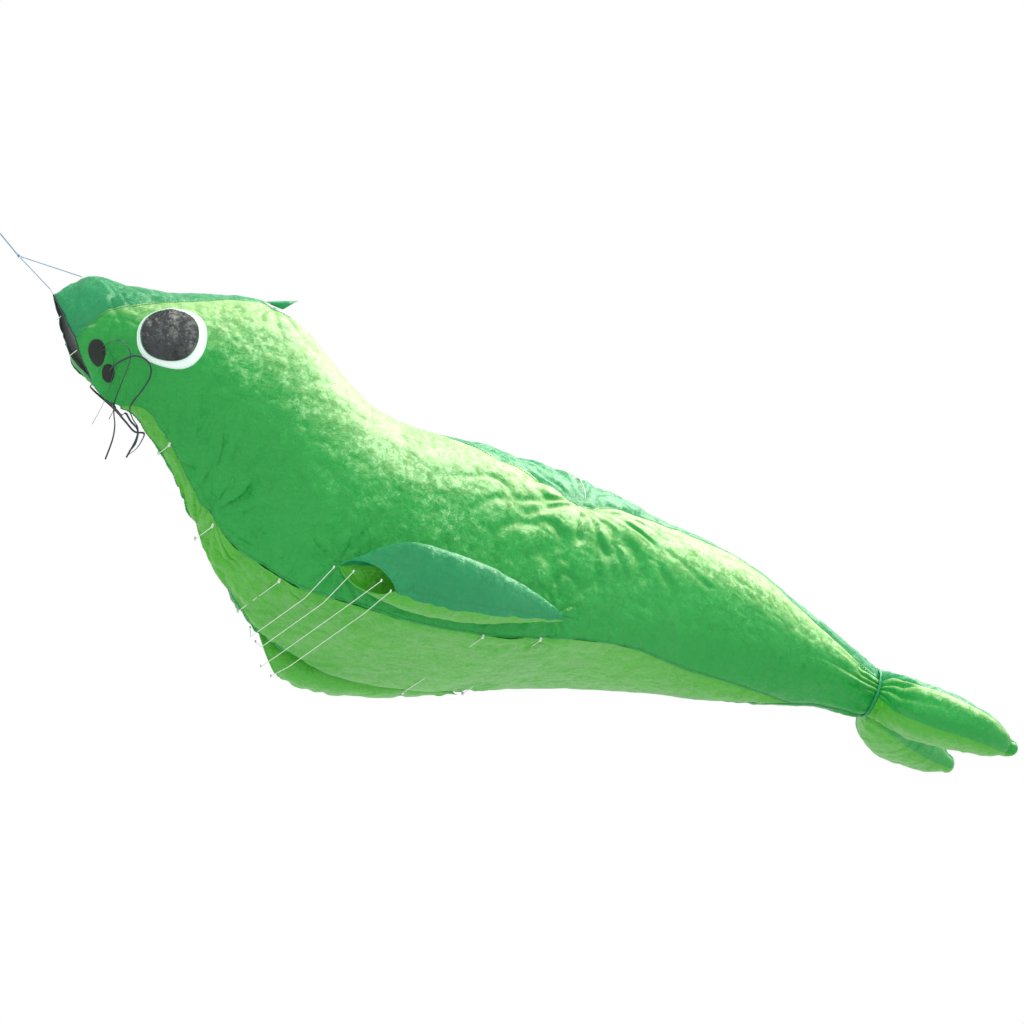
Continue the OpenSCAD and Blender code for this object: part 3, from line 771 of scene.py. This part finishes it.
# %% [markdown]
# ## The four body panels
#
# Each panel is one sheet, cut from its own colour of cloth. The teal spine panel wraps
# round the snout, the green sides are the largest pieces, and the lime belly starts and
# ends in a point. The flat size of the cut is measured on the smooth shape, before it is
# wrinkled.


# %% Body panels
def spine_angle(s):
    return body(s, 6)


def seam_space(s, a, end):
    """Rough distance in metres from angle a to angle end, round the section."""
    radius = (body(s, 4) + (body(s, 1) - body(s, 3)) / 2) / 2 * MM
    return np.abs(np.radians(a - end)) * radius


def side_surface(s, a):
    seam = np.minimum(seam_space(s, a, spine_angle(s)),
                      seam_space(s, a, 90 + low_angle(s)))
    return lifted(ring(s, a), s, seam)


def belly_surface(s, u, bulge=0.022):
    edge = ring(s, 90 + low_angle(s))
    half = belly_half(s) * MM
    p = np.stack([edge[..., 0], u * half, edge[..., 2]], -1)
    swell = bulge * np.cos(u * np.pi / 2) * np.clip(half / 0.2, 0, 1)
    swell = swell * np.clip((edge[..., 0] - 1.7) / 0.4, 0.25, 1)
    seam = (1 - np.abs(u)) * half
    p = lifted(p, s, seam)
    p[..., 2] -= swell
    return p


def declare_sheet(piece, grid, node):
    area, length, width = grid_area(grid)
    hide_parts(node)
    print(f"{piece.name}: cut {width:.2f} by {length:.2f} m, {area:.2f} m2")


STATIONS = np.linspace(0, LAST, 460)[:, None]
side_share = np.linspace(0, 1, 110)[None, :]
angles = spine_angle(STATIONS) + (90 + low_angle(STATIONS) - spine_angle(STATIONS)) * side_share
smooth_side = ring(STATIONS, angles)
wrinkled_side = side_surface(STATIONS, angles)
body_panels = []
for side, sign in SIDES:
    mirrored = sided(wrinkled_side, sign)
    panel = grid_mesh(f"{side}_side_cloth", mirrored + NOSE, LEAF, flip=sign > 0)
    body_panels.append((panel, smooth_side, f"{side}_side_panel", "leaf_nylon"))

spine_share = np.linspace(-1, 1, 91)[None, :]
spine_at = np.abs(spine_share) * spine_angle(STATIONS)
smooth_spine = ring(STATIONS, spine_at)
wrinkled_spine = lifted(smooth_spine, STATIONS + 0 * spine_share,
                        seam_space(STATIONS, spine_at, spine_angle(STATIONS)))
turned = np.where(spine_share < 0, -1.0, 1.0)[..., None] * np.array([0, 1, 0]) + [1, 0, 1]
panel = grid_mesh("spine_cloth", wrinkled_spine * turned + NOSE, TEAL, flip=True)
body_panels.append((panel, smooth_spine * turned, "spine_panel", "teal_nylon"))

belly_stations = np.linspace(BELLY_FIRST, BELLY_LAST, 360)[:, None]
belly_share = np.linspace(-1, 1, 81)[None, :]
belly_grid = belly_surface(belly_stations + 0 * belly_share, belly_share + 0 * belly_stations)
panel = grid_mesh("belly_cloth", belly_grid + NOSE, LIME)
body_panels.append((panel, belly_grid, "belly_panel", "lime_nylon"))
print("body panels:", ", ".join(p.name for p, *_ in body_panels))

# %% [markdown]
# The panels near the waist have to bend when the tail swings, but here each one is only
# baked in place: its transform goes into its points, and it rides no body.

# %% Hide the imported body panels and bake the cloth in place
WAIST = NOSE + np.array([WAIST_X, 0.0, WAIST_Z])


def across_waist(piece):
    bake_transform(piece)


for panel, smooth, node, slot_name in body_panels:
    declare_sheet(panel, smooth, node)
    across_waist(panel)

# %% [markdown]
# ## Small cloth pieces
#
# The eyes and the whisker discs are patches that lie on the side panels, so they follow the
# same wrinkled surface, a few millimetres further out. The ears are small fins, and the
# mouth is closed by a net that lets the wind in.

# %% Eyes and whisker discs
def patch(name, centre_map, out, material, node, rings=26, spokes=96):
    """A round patch on both side panels; centre_map turns (x, y) on a disc into (s, a)."""
    r = np.linspace(0.004, 1, rings)[:, None]
    turn = np.linspace(0, 2 * np.pi, spokes + 1)[None, :]
    x, y = r * np.cos(turn), r * np.sin(turn)
    s, a = centre_map(x, y)
    cloth = side_surface(s, a)
    away = unit(cloth - heart(s))
    edge = np.clip((r - 0.97) / 0.03, 0, 1) * (out + 0.001)
    grid = cloth + away * (out - edge + 0 * x)[..., None]
    wide = np.linalg.norm(grid[-1, 0] - grid[-1, spokes // 2])
    high = np.linalg.norm(grid[-1, spokes // 4] - grid[-1, 3 * spokes // 4])
    for side, sign in SIDES:
        points = sided(grid, sign) + NOSE
        piece = grid_mesh(f"{side}_{name}", points, material, flip=sign < 0)
        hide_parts(f"{side}_{node}")
        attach(piece, "body")
    rim = [sided(grid[-2], sign) + NOSE for sign in (1.0, -1.0)]
    print(f"{name}: {wide:.2f} by {high:.2f} m")
    return rim


def eye_map(x, y):
    return (3.94 + 1.035 * x + 0.075 * y - 0.045 * x * x + 0.105 * y * y,
            90.7 - 8.25 * x + 27.6 * y - 2.25 * x * x - 4.4 * y * y)


def pupil_map(x, y):
    return eye_map(-0.086 + 0.843 * x, -0.078 + 0.847 * y)


rims = patch("eye_cloth", eye_map, 0.005, WHITE, "eye_white")
rims += patch("pupil_cloth", pupil_map, 0.009, PUPIL, "eye_pupil")
DISCS = ((1.33, 110.7, 0.44, 13.5), (1.9, 129.9, 0.36, 9.5))
for number, (s0, a0, rs, ra) in enumerate(DISCS, 1):
    patch(f"disc_felt_{number}", lambda x, y: (s0 + rs * x, a0 + ra * y), 0.005, FELT,
          "whisker_discs", rings=10, spokes=48)

# %% Ears
EAR_ROOT = np.array([[795, 122, 262], [872, 128, 256]]) * MM + [0, 0, 0.004]
EAR_TIP = np.array([922, 132, 318]) * MM
EAR_CRUMPLE = 0.5
ear_u = np.linspace(0, 1, 25)[:, None]
ear_v = np.linspace(0, 0.985, 25)[None, :]
for side, sign in SIDES:
    sheets = []
    for face in (1.0, -1.0):
        at = (EAR_ROOT[0] + (EAR_ROOT[1] - EAR_ROOT[0]) * ear_u[..., None])
        at = at + (EAR_TIP - at) * ear_v[..., None]
        belly = np.sin(np.pi * ear_u) * (1 - ear_v) * (0.004 + 0.012 * np.sin(np.pi * ear_v))
        at[..., 1] += face * belly + 0.010 * np.sin(np.pi * ear_v) * ear_u
        at = at + EAR_CRUMPLE * crinkles(at * 3)[..., None]
        sheets.append(sided(at, sign) + NOSE)
    whole = np.concatenate([sheets[0], sheets[1][::-1]])
    piece = grid_mesh(f"{side}_ear_cloth", whole, TEAL, flip=sign > 0)
    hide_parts(f"{side}_ear")
    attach(piece, f"{side}_ear")

# %% Mouth
lip_a = np.linspace(0, 180, 121)[:, None]
lip = ring(0 * lip_a + 0.03, lip_a)
net_u = np.linspace(-1, 1, 31)[None, :]
net = lip * [1, 0, 1] + np.array([0, 1, 0]) * lip[..., 1:2] * net_u[..., None]
net[..., 0] += 0.004 + 0.010 * (1 - net_u**2)
piece = grid_mesh("mouth_net", net + NOSE, NET)
area, length, width = grid_area(net)
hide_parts("mouth_mesh")
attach(piece, "body")
for side, sign in SIDES:
    edge = sided(side_surface(0 * lip_a + 0.02, lip_a)[:, 0], sign)
    hem = sweep(f"{side}_lip_hem", edge + NOSE, 0.007, 0.005, RIBBON, sides=8)
    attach(hem, "body")
for number, q in enumerate((0.35, 0.62), 1):
    end = ring(np.array(0.0), np.array(180.0 * q)) + [-0.008, 0, -0.008]
    tie(f"mouth_stay_cord_{number}", [NOSE + end, NOSE + sided(end, -1.0)], "mouth_stays")

# %% Tabs
# A tab is a short piece of webbing, folded over a cord and sewn into a seam.
tab_ends = [seam_low(s) for s in (THROAT_S, CHEST_S) + BELLY_TIE_S]
for number, end in enumerate(tab_ends, 1):
    for side, sign in SIDES:
        at = sided(end, sign) + NOSE
        fold = np.array([[0, 0.006, 0.012], [0, 0.002, 0.004], [0, -0.004, 0],
                         [0, 0.002, -0.004], [0, 0.006, 0.002]]) * [1, sign, 1]
        piece = sweep(f"{side}_tab_{number}", smooth_path(at + fold, 4), 0.009, 0.0022, WEBBING,
                      sides=8, side=(1, 0, 0))
        settle(piece, "tie_tabs", "body")
for row in FLIPPER_TIES:
    for side, sign in SIDES:
        at = sided(row[:3], sign) + NOSE
        away = np.array([0, 0.004 * sign, 0.012])
        piece = sweep(f"{side}_lip_tab_{int(row[0] * 1000)}",
                      np.linspace(at - away * 0.3, at + away * 0.6, 5), 0.007, 0.003, WEBBING,
                      sides=8, side=(1, 0, 0))
        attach(piece, f"{side}_flipper")
for name, at, tilt in (("nose_tab", NOSE_TAB, 40), ("snout_tab", SNOUT_TAB, -30)):
    r = math.radians(tilt)
    forward = np.array([math.cos(r), 0, -math.sin(r)])
    loop_path = [forward * 0.011 + [0, 0.0012, 0], [0, 0.0018, 0], forward * -0.010 + [0, 0.0014, 0],
                 forward * -0.0118, forward * -0.010 - [0, 0.0014, 0], [0, -0.0018, 0],
                 forward * 0.011 - [0, 0.0012, 0]]
    piece = sweep(name + "_webbing", smooth_path(np.array(loop_path) + at, 5), 0.002, 0.012,
                  WEBBING, sides=8, side=(0, 1, 0))
    settle(piece, name, "body")
print("small pieces done")

# %% [markdown]
# ## Stitches
#
# A row of thread runs along every seam. Geometry Nodes cuts a path into equal steps and
# sets one stitch on each, turned along the path.

# %% Stitch generator
STITCH_INPUTS = (("Spacing", 0.012), ("Length", 0.0085), ("Thickness", 0.0022))
THREAD = woven("seam_thread", linear(8, 120, 64), linear(30, 150, 80), 0.002, 0.6)
PALE_THREAD = woven("pale_thread", linear(190, 215, 205), linear(225, 240, 235), 0.002, 0.6)


def stitch_tree():
    tree = bpy.data.node_groups.new("stitches", "GeometryNodeTree")
    face = tree.interface
    face.new_socket("Geometry", in_out="INPUT", socket_type="NodeSocketGeometry")
    for name, value in STITCH_INPUTS:
        face.new_socket(name, in_out="INPUT", socket_type="NodeSocketFloat").default_value = value
    face.new_socket("Thread", in_out="INPUT", socket_type="NodeSocketMaterial")
    face.new_socket("Geometry", in_out="OUTPUT", socket_type="NodeSocketGeometry")
    new, link = tree.nodes.new, tree.links.new
    given, out = new("NodeGroupInput"), new("NodeGroupOutput")
    curve, cut = new("GeometryNodeMeshToCurve"), new("GeometryNodeCurveToPoints")
    cut.mode = "LENGTH"
    shape, size = new("GeometryNodeMeshCube"), new("ShaderNodeCombineXYZ")
    place, real = new("GeometryNodeInstanceOnPoints"), new("GeometryNodeRealizeInstances")
    paint = new("GeometryNodeSetMaterial")
    link(given.outputs["Geometry"], curve.inputs[0])
    link(curve.outputs[0], cut.inputs["Curve"])
    link(given.outputs["Spacing"], cut.inputs["Length"])
    link(given.outputs["Thickness"], size.inputs["X"])
    link(given.outputs["Thickness"], size.inputs["Y"])
    link(given.outputs["Length"], size.inputs["Z"])
    link(size.outputs[0], shape.inputs["Size"])
    link(cut.outputs["Points"], place.inputs["Points"])
    link(shape.outputs["Mesh"], place.inputs["Instance"])
    link(cut.outputs["Rotation"], place.inputs["Rotation"])
    link(place.outputs[0], real.inputs[0])
    link(real.outputs[0], paint.inputs["Geometry"])
    link(given.outputs["Thread"], paint.inputs["Material"])
    link(paint.outputs[0], out.inputs[0])
    return tree


STITCHES = stitch_tree()


def stitched(name, path, thread=THREAD, **values):
    """A row of stitches along path, as a plain mesh."""
    mesh = bpy.data.meshes.new(name + "_line")
    mesh.from_pydata([tuple(p) for p in path], [(k, k + 1) for k in range(len(path) - 1)], [])
    line = bpy.data.objects.new(name + "_line", mesh)
    bpy.context.collection.objects.link(line)
    modifier = line.modifiers.new("stitches", "NODES")
    modifier.node_group = STITCHES
    sockets = {item.name: item.identifier for item in STITCHES.interface.items_tree
               if item.in_out == "INPUT"}
    modifier[sockets["Thread"]] = thread
    for key, value in values.items():
        modifier[sockets[key]] = value
    bpy.context.view_layer.update()
    graph = bpy.context.evaluated_depsgraph_get()
    made = bpy.data.meshes.new_from_object(line.evaluated_get(graph))
    line.modifiers.remove(modifier)
    piece = bpy.data.objects.new(name, made)
    bpy.context.collection.objects.link(piece)
    bpy.data.objects.remove(line)
    return piece


# %% Seams and hems
rows = 0
STITCH_LIFT = 0.0012
for side, sign in SIDES:
    for name, grid, s in (("spine", wrinkled_side[:, 2], STATIONS[:, 0]),
                          ("belly", wrinkled_side[30:, -3], STATIONS[30:, 0])):
        path = sided(grid + unit(grid - heart(s)) * STITCH_LIFT, sign) + NOSE
        across_waist(stitched(f"{side}_{name}_stitches", path))
        rows += 1
    for number, rim in enumerate(rims[(0 if sign > 0 else 1)::2]):
        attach(stitched(f"{side}_eye_stitches_{number}", rim,
                         PALE_THREAD if number == 0 else THREAD), "body")
        rows += 1
turn = np.linspace(0, 2 * np.pi, 121)
band = np.stack([0 * turn, 0.087 * np.sin(turn), 0.102 * np.cos(turn)], -1)
band = band + WAIST
piece = sweep("waist_tape", band, 0.014, 0.004, TEAL, sides=8, side=(1, 0, 0))
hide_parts("waist_band")
across_waist(piece)
print("rows of stitches:", rows)

# %% [markdown]
# ## Hind flippers
#
# Behind the waist the body splits into two flat lobes. Each lobe starts as half of the
# waist's own section and turns into a rounded pad. Four strips are sewn round it: teal on
# top, green on the outer and the inner side, lime below.

# %% Hind flippers
HIND_ROWS = np.array([
    [0.00, 0.002, 0.00, 0.24, 0.42, -0.44],
    [0.10, 0.002, 0.04, 0.45, 0.40, -0.52],
    [0.22, 0.002, 0.18, 0.70, 0.34, -0.60],
    [0.34, 0.006, 0.38, 0.92, 0.27, -0.66],
    [0.48, 0.17, 0.59, 1.00, 0.19, -0.64],
    [0.63, 0.31, 0.78, 0.975, 0.11, -0.60],
    [0.78, 0.45, 0.91, 0.90, 0.01, -0.55],
    [0.93, 0.59, 0.985, 0.80, -0.13, -0.46]])
hind_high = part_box("left_hind_side")[1]
HIND_LENGTH = hind_high.x - NOSE[0] - WAIST_X - 0.030
HIND_HALF = 0.405
HIND_DEPTH = 0.225
HIND_END = len(HIND_ROWS) - 1


def hind_base(s, a):
    """Point of the right hind flipper at station s and angle a, from 0 at its outer edge."""
    past = np.clip(s - HIND_END, 0, 1)
    s = np.minimum(s, HIND_END)
    x0, y0, x1, y1, top, low = (pick(HIND_ROWS, s, c) for c in range(6))
    y0 = np.maximum(0.002, y0)
    r = np.radians(a)

    def rounded(v):
        return np.sign(v) * np.abs(v)**0.8

    u = 0.5 + 0.5 * rounded(np.cos(r))
    middle = WAIST_Z + HIND_DEPTH * (top + low) / 2
    half = HIND_DEPTH * (top - low) / 2
    lobe = np.stack([HIND_LENGTH * (x0 + (x1 - x0) * u), HIND_HALF * (y0 + (y1 - y0) * u),
                     middle + half * rounded(np.sin(r))], -1)
    around = np.abs((a + 180) % 360 - 180)
    up = np.where((a % 360) < 180, 1.0, -1.0)
    inside = np.clip((around - 90) / 90, 0, 1)
    y = 0.086 * np.cos(np.radians(np.minimum(around, 90)))
    z = WAIST_Z - 0.003 + 0.101 * up * np.where(around < 90, np.sin(np.radians(around)),
                                                1 - inside)
    waist = np.stack([0 * y, y + 0.0004, z + 0 * y], -1)
    share = np.clip(s / 2.0, 0, 1)
    share = (share * share * (3 - 2 * share))[..., None]
    p = waist * (1 - share) + lobe * share
    p[..., 0] = lobe[..., 0] + WAIST_X
    close = np.sqrt(1 - past**2)[..., None]
    p = hind_heart(s) + (p - hind_heart(s)) * close
    p[..., 0] += 0.045 * past
    p[..., 1] += 0.016 * past
    return p


def hind_heart(s):
    s = np.minimum(s, HIND_END)
    x = WAIST_X + HIND_LENGTH * (pick(HIND_ROWS, s, 0) + pick(HIND_ROWS, s, 2)) / 2
    y = HIND_HALF * (pick(HIND_ROWS, s, 1) + pick(HIND_ROWS, s, 3)) / 2
    z = WAIST_Z + HIND_DEPTH * (pick(HIND_ROWS, s, 4) + pick(HIND_ROWS, s, 5)) / 2
    return np.stack([x, y, z], -1)


def hind_seams(s):
    """The four seam angles at station s."""
    t = np.clip(s / 2.0, 0, 1)
    outer = 22 + 18 * t
    return [-140 + 0 * s, -outer, outer, 140 + 0 * s, 220 + 0 * s]


def hind_surface(s, a):
    p = hind_base(s, a)
    gaps = [np.abs((a - e + 180) % 360 - 180) for e in hind_seams(s)[:4]]
    seam = np.radians(np.minimum.reduce(gaps)) * 0.11
    lift = puckers(p[..., 0] + p[..., 1] * 0.6, seam) * np.clip(p[..., 1] / 0.02, 0, 1)
    lift = lift + gathers(p) + crinkles(p, 0.9) * (1 - np.exp(-seam / 0.02))
    lift = lift * np.clip((p[..., 1] + 0.002) / 0.03, 0, 1) * np.clip(HIND_END + 1 - s, 0, 1)
    return p + unit(p - hind_heart(s) + 1e-6) * lift[..., None]


HIND_ROLL = math.radians(11.5)


def rolled(points):
    """Points of the tail, rolled about the waist as the hind flippers fly."""
    y, z = points[..., 1], points[..., 2] - WAIST_Z
    turned = points.copy()
    turned[..., 1] = y * math.cos(HIND_ROLL) - z * math.sin(HIND_ROLL)
    turned[..., 2] = WAIST_Z + y * math.sin(HIND_ROLL) + z * math.cos(HIND_ROLL)
    share = np.clip((points[..., 0] - WAIST_X) / 0.05, 0, 1)[..., None]
    return points * (1 - share) + turned * share


HIND_PANELS = (("bottom", 0, "lime_nylon", LIME), ("side", 1, "leaf_nylon", LEAF),
               ("top", 2, "teal_nylon", TEAL), ("inner", 3, "leaf_nylon", LEAF))
hind_s = np.concatenate([np.linspace(0, HIND_END, 120),
                         HIND_END + np.sin(np.linspace(0, 1, 15)[1:] * np.pi / 2)])[:, None]
hind_share = np.linspace(0, 1, 41)[None, :]
for name, number, slot_name, material in HIND_PANELS:
    seams = hind_seams(hind_s)
    at = seams[number] + (seams[number + 1] - seams[number]) * hind_share
    stations = hind_s + 0 * hind_share
    base = hind_base(stations, at)
    cloth = hind_surface(stations, at)
    for side, sign in SIDES:
        points = rolled(sided(cloth, sign)) + NOSE
        piece = grid_mesh(f"{side}_hind_{name}_cloth", points, material, flip=sign > 0)
        node = "hind_inner_panels" if name == "inner" else f"{side}_hind_{name}"
        declare_sheet(piece, base, node)
        across_waist(piece)

# %% [markdown]
# ## Front flippers
#
# Each front flipper is a bag of its own: a teal skin on top and a lime skin below, sewn
# together along the outer edge and to the body along the root, and open in front so that
# the wind can fill it. The two skins share the same edge lines, and only their bulge is
# different.

# %% Front flippers
FLIPPER_ROWS = np.array([
    [1262, 372, -778, 1455, 540, -872, 0.35, 0.45],
    [1370, 404, -745, 1550, 556, -872, 1.00, 0.85],
    [1530, 432, -715, 1690, 552, -852, 1.05, 1.10],
    [1680, 437, -690, 1860, 535, -800, 0.90, 1.05],
    [1830, 432, -665, 2000, 510, -745, 0.62, 0.80],
    [1990, 440, -655, 2105, 492, -703, 0.36, 0.45],
    [2110, 464, -662, 2160, 482, -683, 0.15, 0.18]])
FLIPPER_RISE = 0.170
FLIPPER_DROP = 0.095
FLIPPER_GAP = 0.004
FLIPPER_END = len(FLIPPER_ROWS) - 1


def flipper_base(s, u, up):
    inner = np.stack([pick(FLIPPER_ROWS, s, c) for c in range(3)], -1) * MM
    outer = np.stack([pick(FLIPPER_ROWS, s, c) for c in range(3, 6)], -1) * MM
    inner = inner + [0, FLIPPER_GAP, 0]
    normal = unit(np.stack([0 * s, inner[..., 2] - outer[..., 2], outer[..., 1] - inner[..., 1]], -1))
    arch = np.maximum(0, 4 * u * (1 - u))
    if up:
        height = FLIPPER_RISE * pick(FLIPPER_ROWS, s, 6) * arch**0.7
    else:
        height = -FLIPPER_DROP * pick(FLIPPER_ROWS, s, 7) * arch**0.8
    return inner + (outer - inner) * u[..., None] + normal * height[..., None], normal


def flipper_surface(s, u, up):
    p, normal = flipper_base(s, u, up)
    width = 0.3
    seam = np.minimum(u, 1 - u) * width
    lift = puckers(p[..., 0] * 1.3, seam) * 1.2
    rim = np.clip(s / 0.35, 0, 1)
    lift = lift + crinkles(p, 1.1) * (1 - np.exp(-seam / 0.015)) * (0.3 + 0.7 * rim)
    edge = np.clip(seam / 0.01, 0, 1)
    sign = 1.0 if up else -1.0
    moved = p + normal * (sign * lift * edge)[..., None]
    moved[..., 2] += 0.006 * noise_line(p[..., 0] / 0.03, 77) * np.exp(-seam / 0.03) * u
    return moved


flipper_s = np.linspace(0, FLIPPER_END, 190)[:, None]
flipper_u = np.linspace(0, 1, 81)[None, :]
for up, name, slot_name, material in ((True, "top", "teal_nylon", TEAL),
                                      (False, "bottom", "lime_nylon", LIME)):
    stations = flipper_s + 0 * flipper_u
    shares = flipper_u + 0 * flipper_s
    base, _ = flipper_base(stations, shares, up)
    cloth = flipper_surface(stations, shares, up)
    for side, sign in SIDES:
        points = sided(cloth, sign) + NOSE
        outward = (sign > 0) == up
        piece = grid_mesh(f"{side}_flipper_{name}_cloth", points, material, flip=not outward)
        declare_sheet(piece, base, f"{side}_flipper_{name}")
        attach(piece, f"{side}_flipper")

# %% Hems round the flippers
lip_u = np.linspace(0, 1, 60)
for side, sign in SIDES:
    for up, material in ((True, TEAL), (False, LIME)):
        path = sided(flipper_surface(0 * lip_u, lip_u, up), sign) + NOSE
        hem = sweep(f"{side}_mouth_hem_{'top' if up else 'bottom'}", path, 0.009, 0.006, material,
                    sides=8, side=(1, 0, 0))
        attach(hem, f"{side}_flipper")
    edge_s = np.linspace(0, FLIPPER_END, 160)
    path = sided(flipper_surface(edge_s, 0 * edge_s + 0.97, True), sign) + NOSE
    path = path + [0, sign * 0.001, 0.001]
    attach(stitched(f"{side}_flipper_stitches", path), f"{side}_flipper")

# %% [markdown]
# ## Light and floor
#
# A broad soft light from above stands for the sky, and a weaker one fills in from the
# camera's side. The floor is far below, because the kite flies.

# %% Light and floor
FLOOR_Z = -30.0


def area_light(name, place, target, size, power, tint=(1, 1, 1)):
    data = bpy.data.lights.new(name, "AREA")
    data.shape = "RECTANGLE"
    data.size, data.size_y = size
    data.energy = power
    data.color = tint
    made = bpy.data.objects.new(name, data)
    made.location = place
    made.rotation_euler = (Vector(target) - Vector(place)).to_track_quat("-Z", "Y").to_euler()
    bpy.context.collection.objects.link(made)
    return made


body_middle = (2.3, 0, -0.5)
area_light("sky_light", (3.6, -1.0, 4.6), body_middle, (7.0, 3.6), 600, (1.0, 1.0, 0.88))
area_light("front_fill", (-4.5, -5.0, -3.5), body_middle, (4.0, 4.0), 40)
floor_size = 60.0
floor_mesh = bpy.data.meshes.new("floor")
corners = [(-1, -1), (1, -1), (1, 1), (-1, 1)]
floor_mesh.from_pydata([(x * floor_size, y * floor_size, FLOOR_Z) for x, y in corners],
                       [], [(0, 1, 2, 3)])
floor = bpy.data.objects.new("floor", floor_mesh)
bpy.context.collection.objects.link(floor)
pale = Finish("floor_paint")
pale.set(base_color=linear(250, 250, 250), roughness=0.8)
floor_mesh.materials.append(pale.material)

world = bpy.data.worlds.new("sky")
world.use_nodes = True
world.node_tree.nodes["Background"].inputs["Color"].default_value = (1, 1, 1, 1)
world.node_tree.nodes["Background"].inputs["Strength"].default_value = 1.0
bpy.context.scene.world = world
bpy.context.scene.view_settings.view_transform = "Standard"
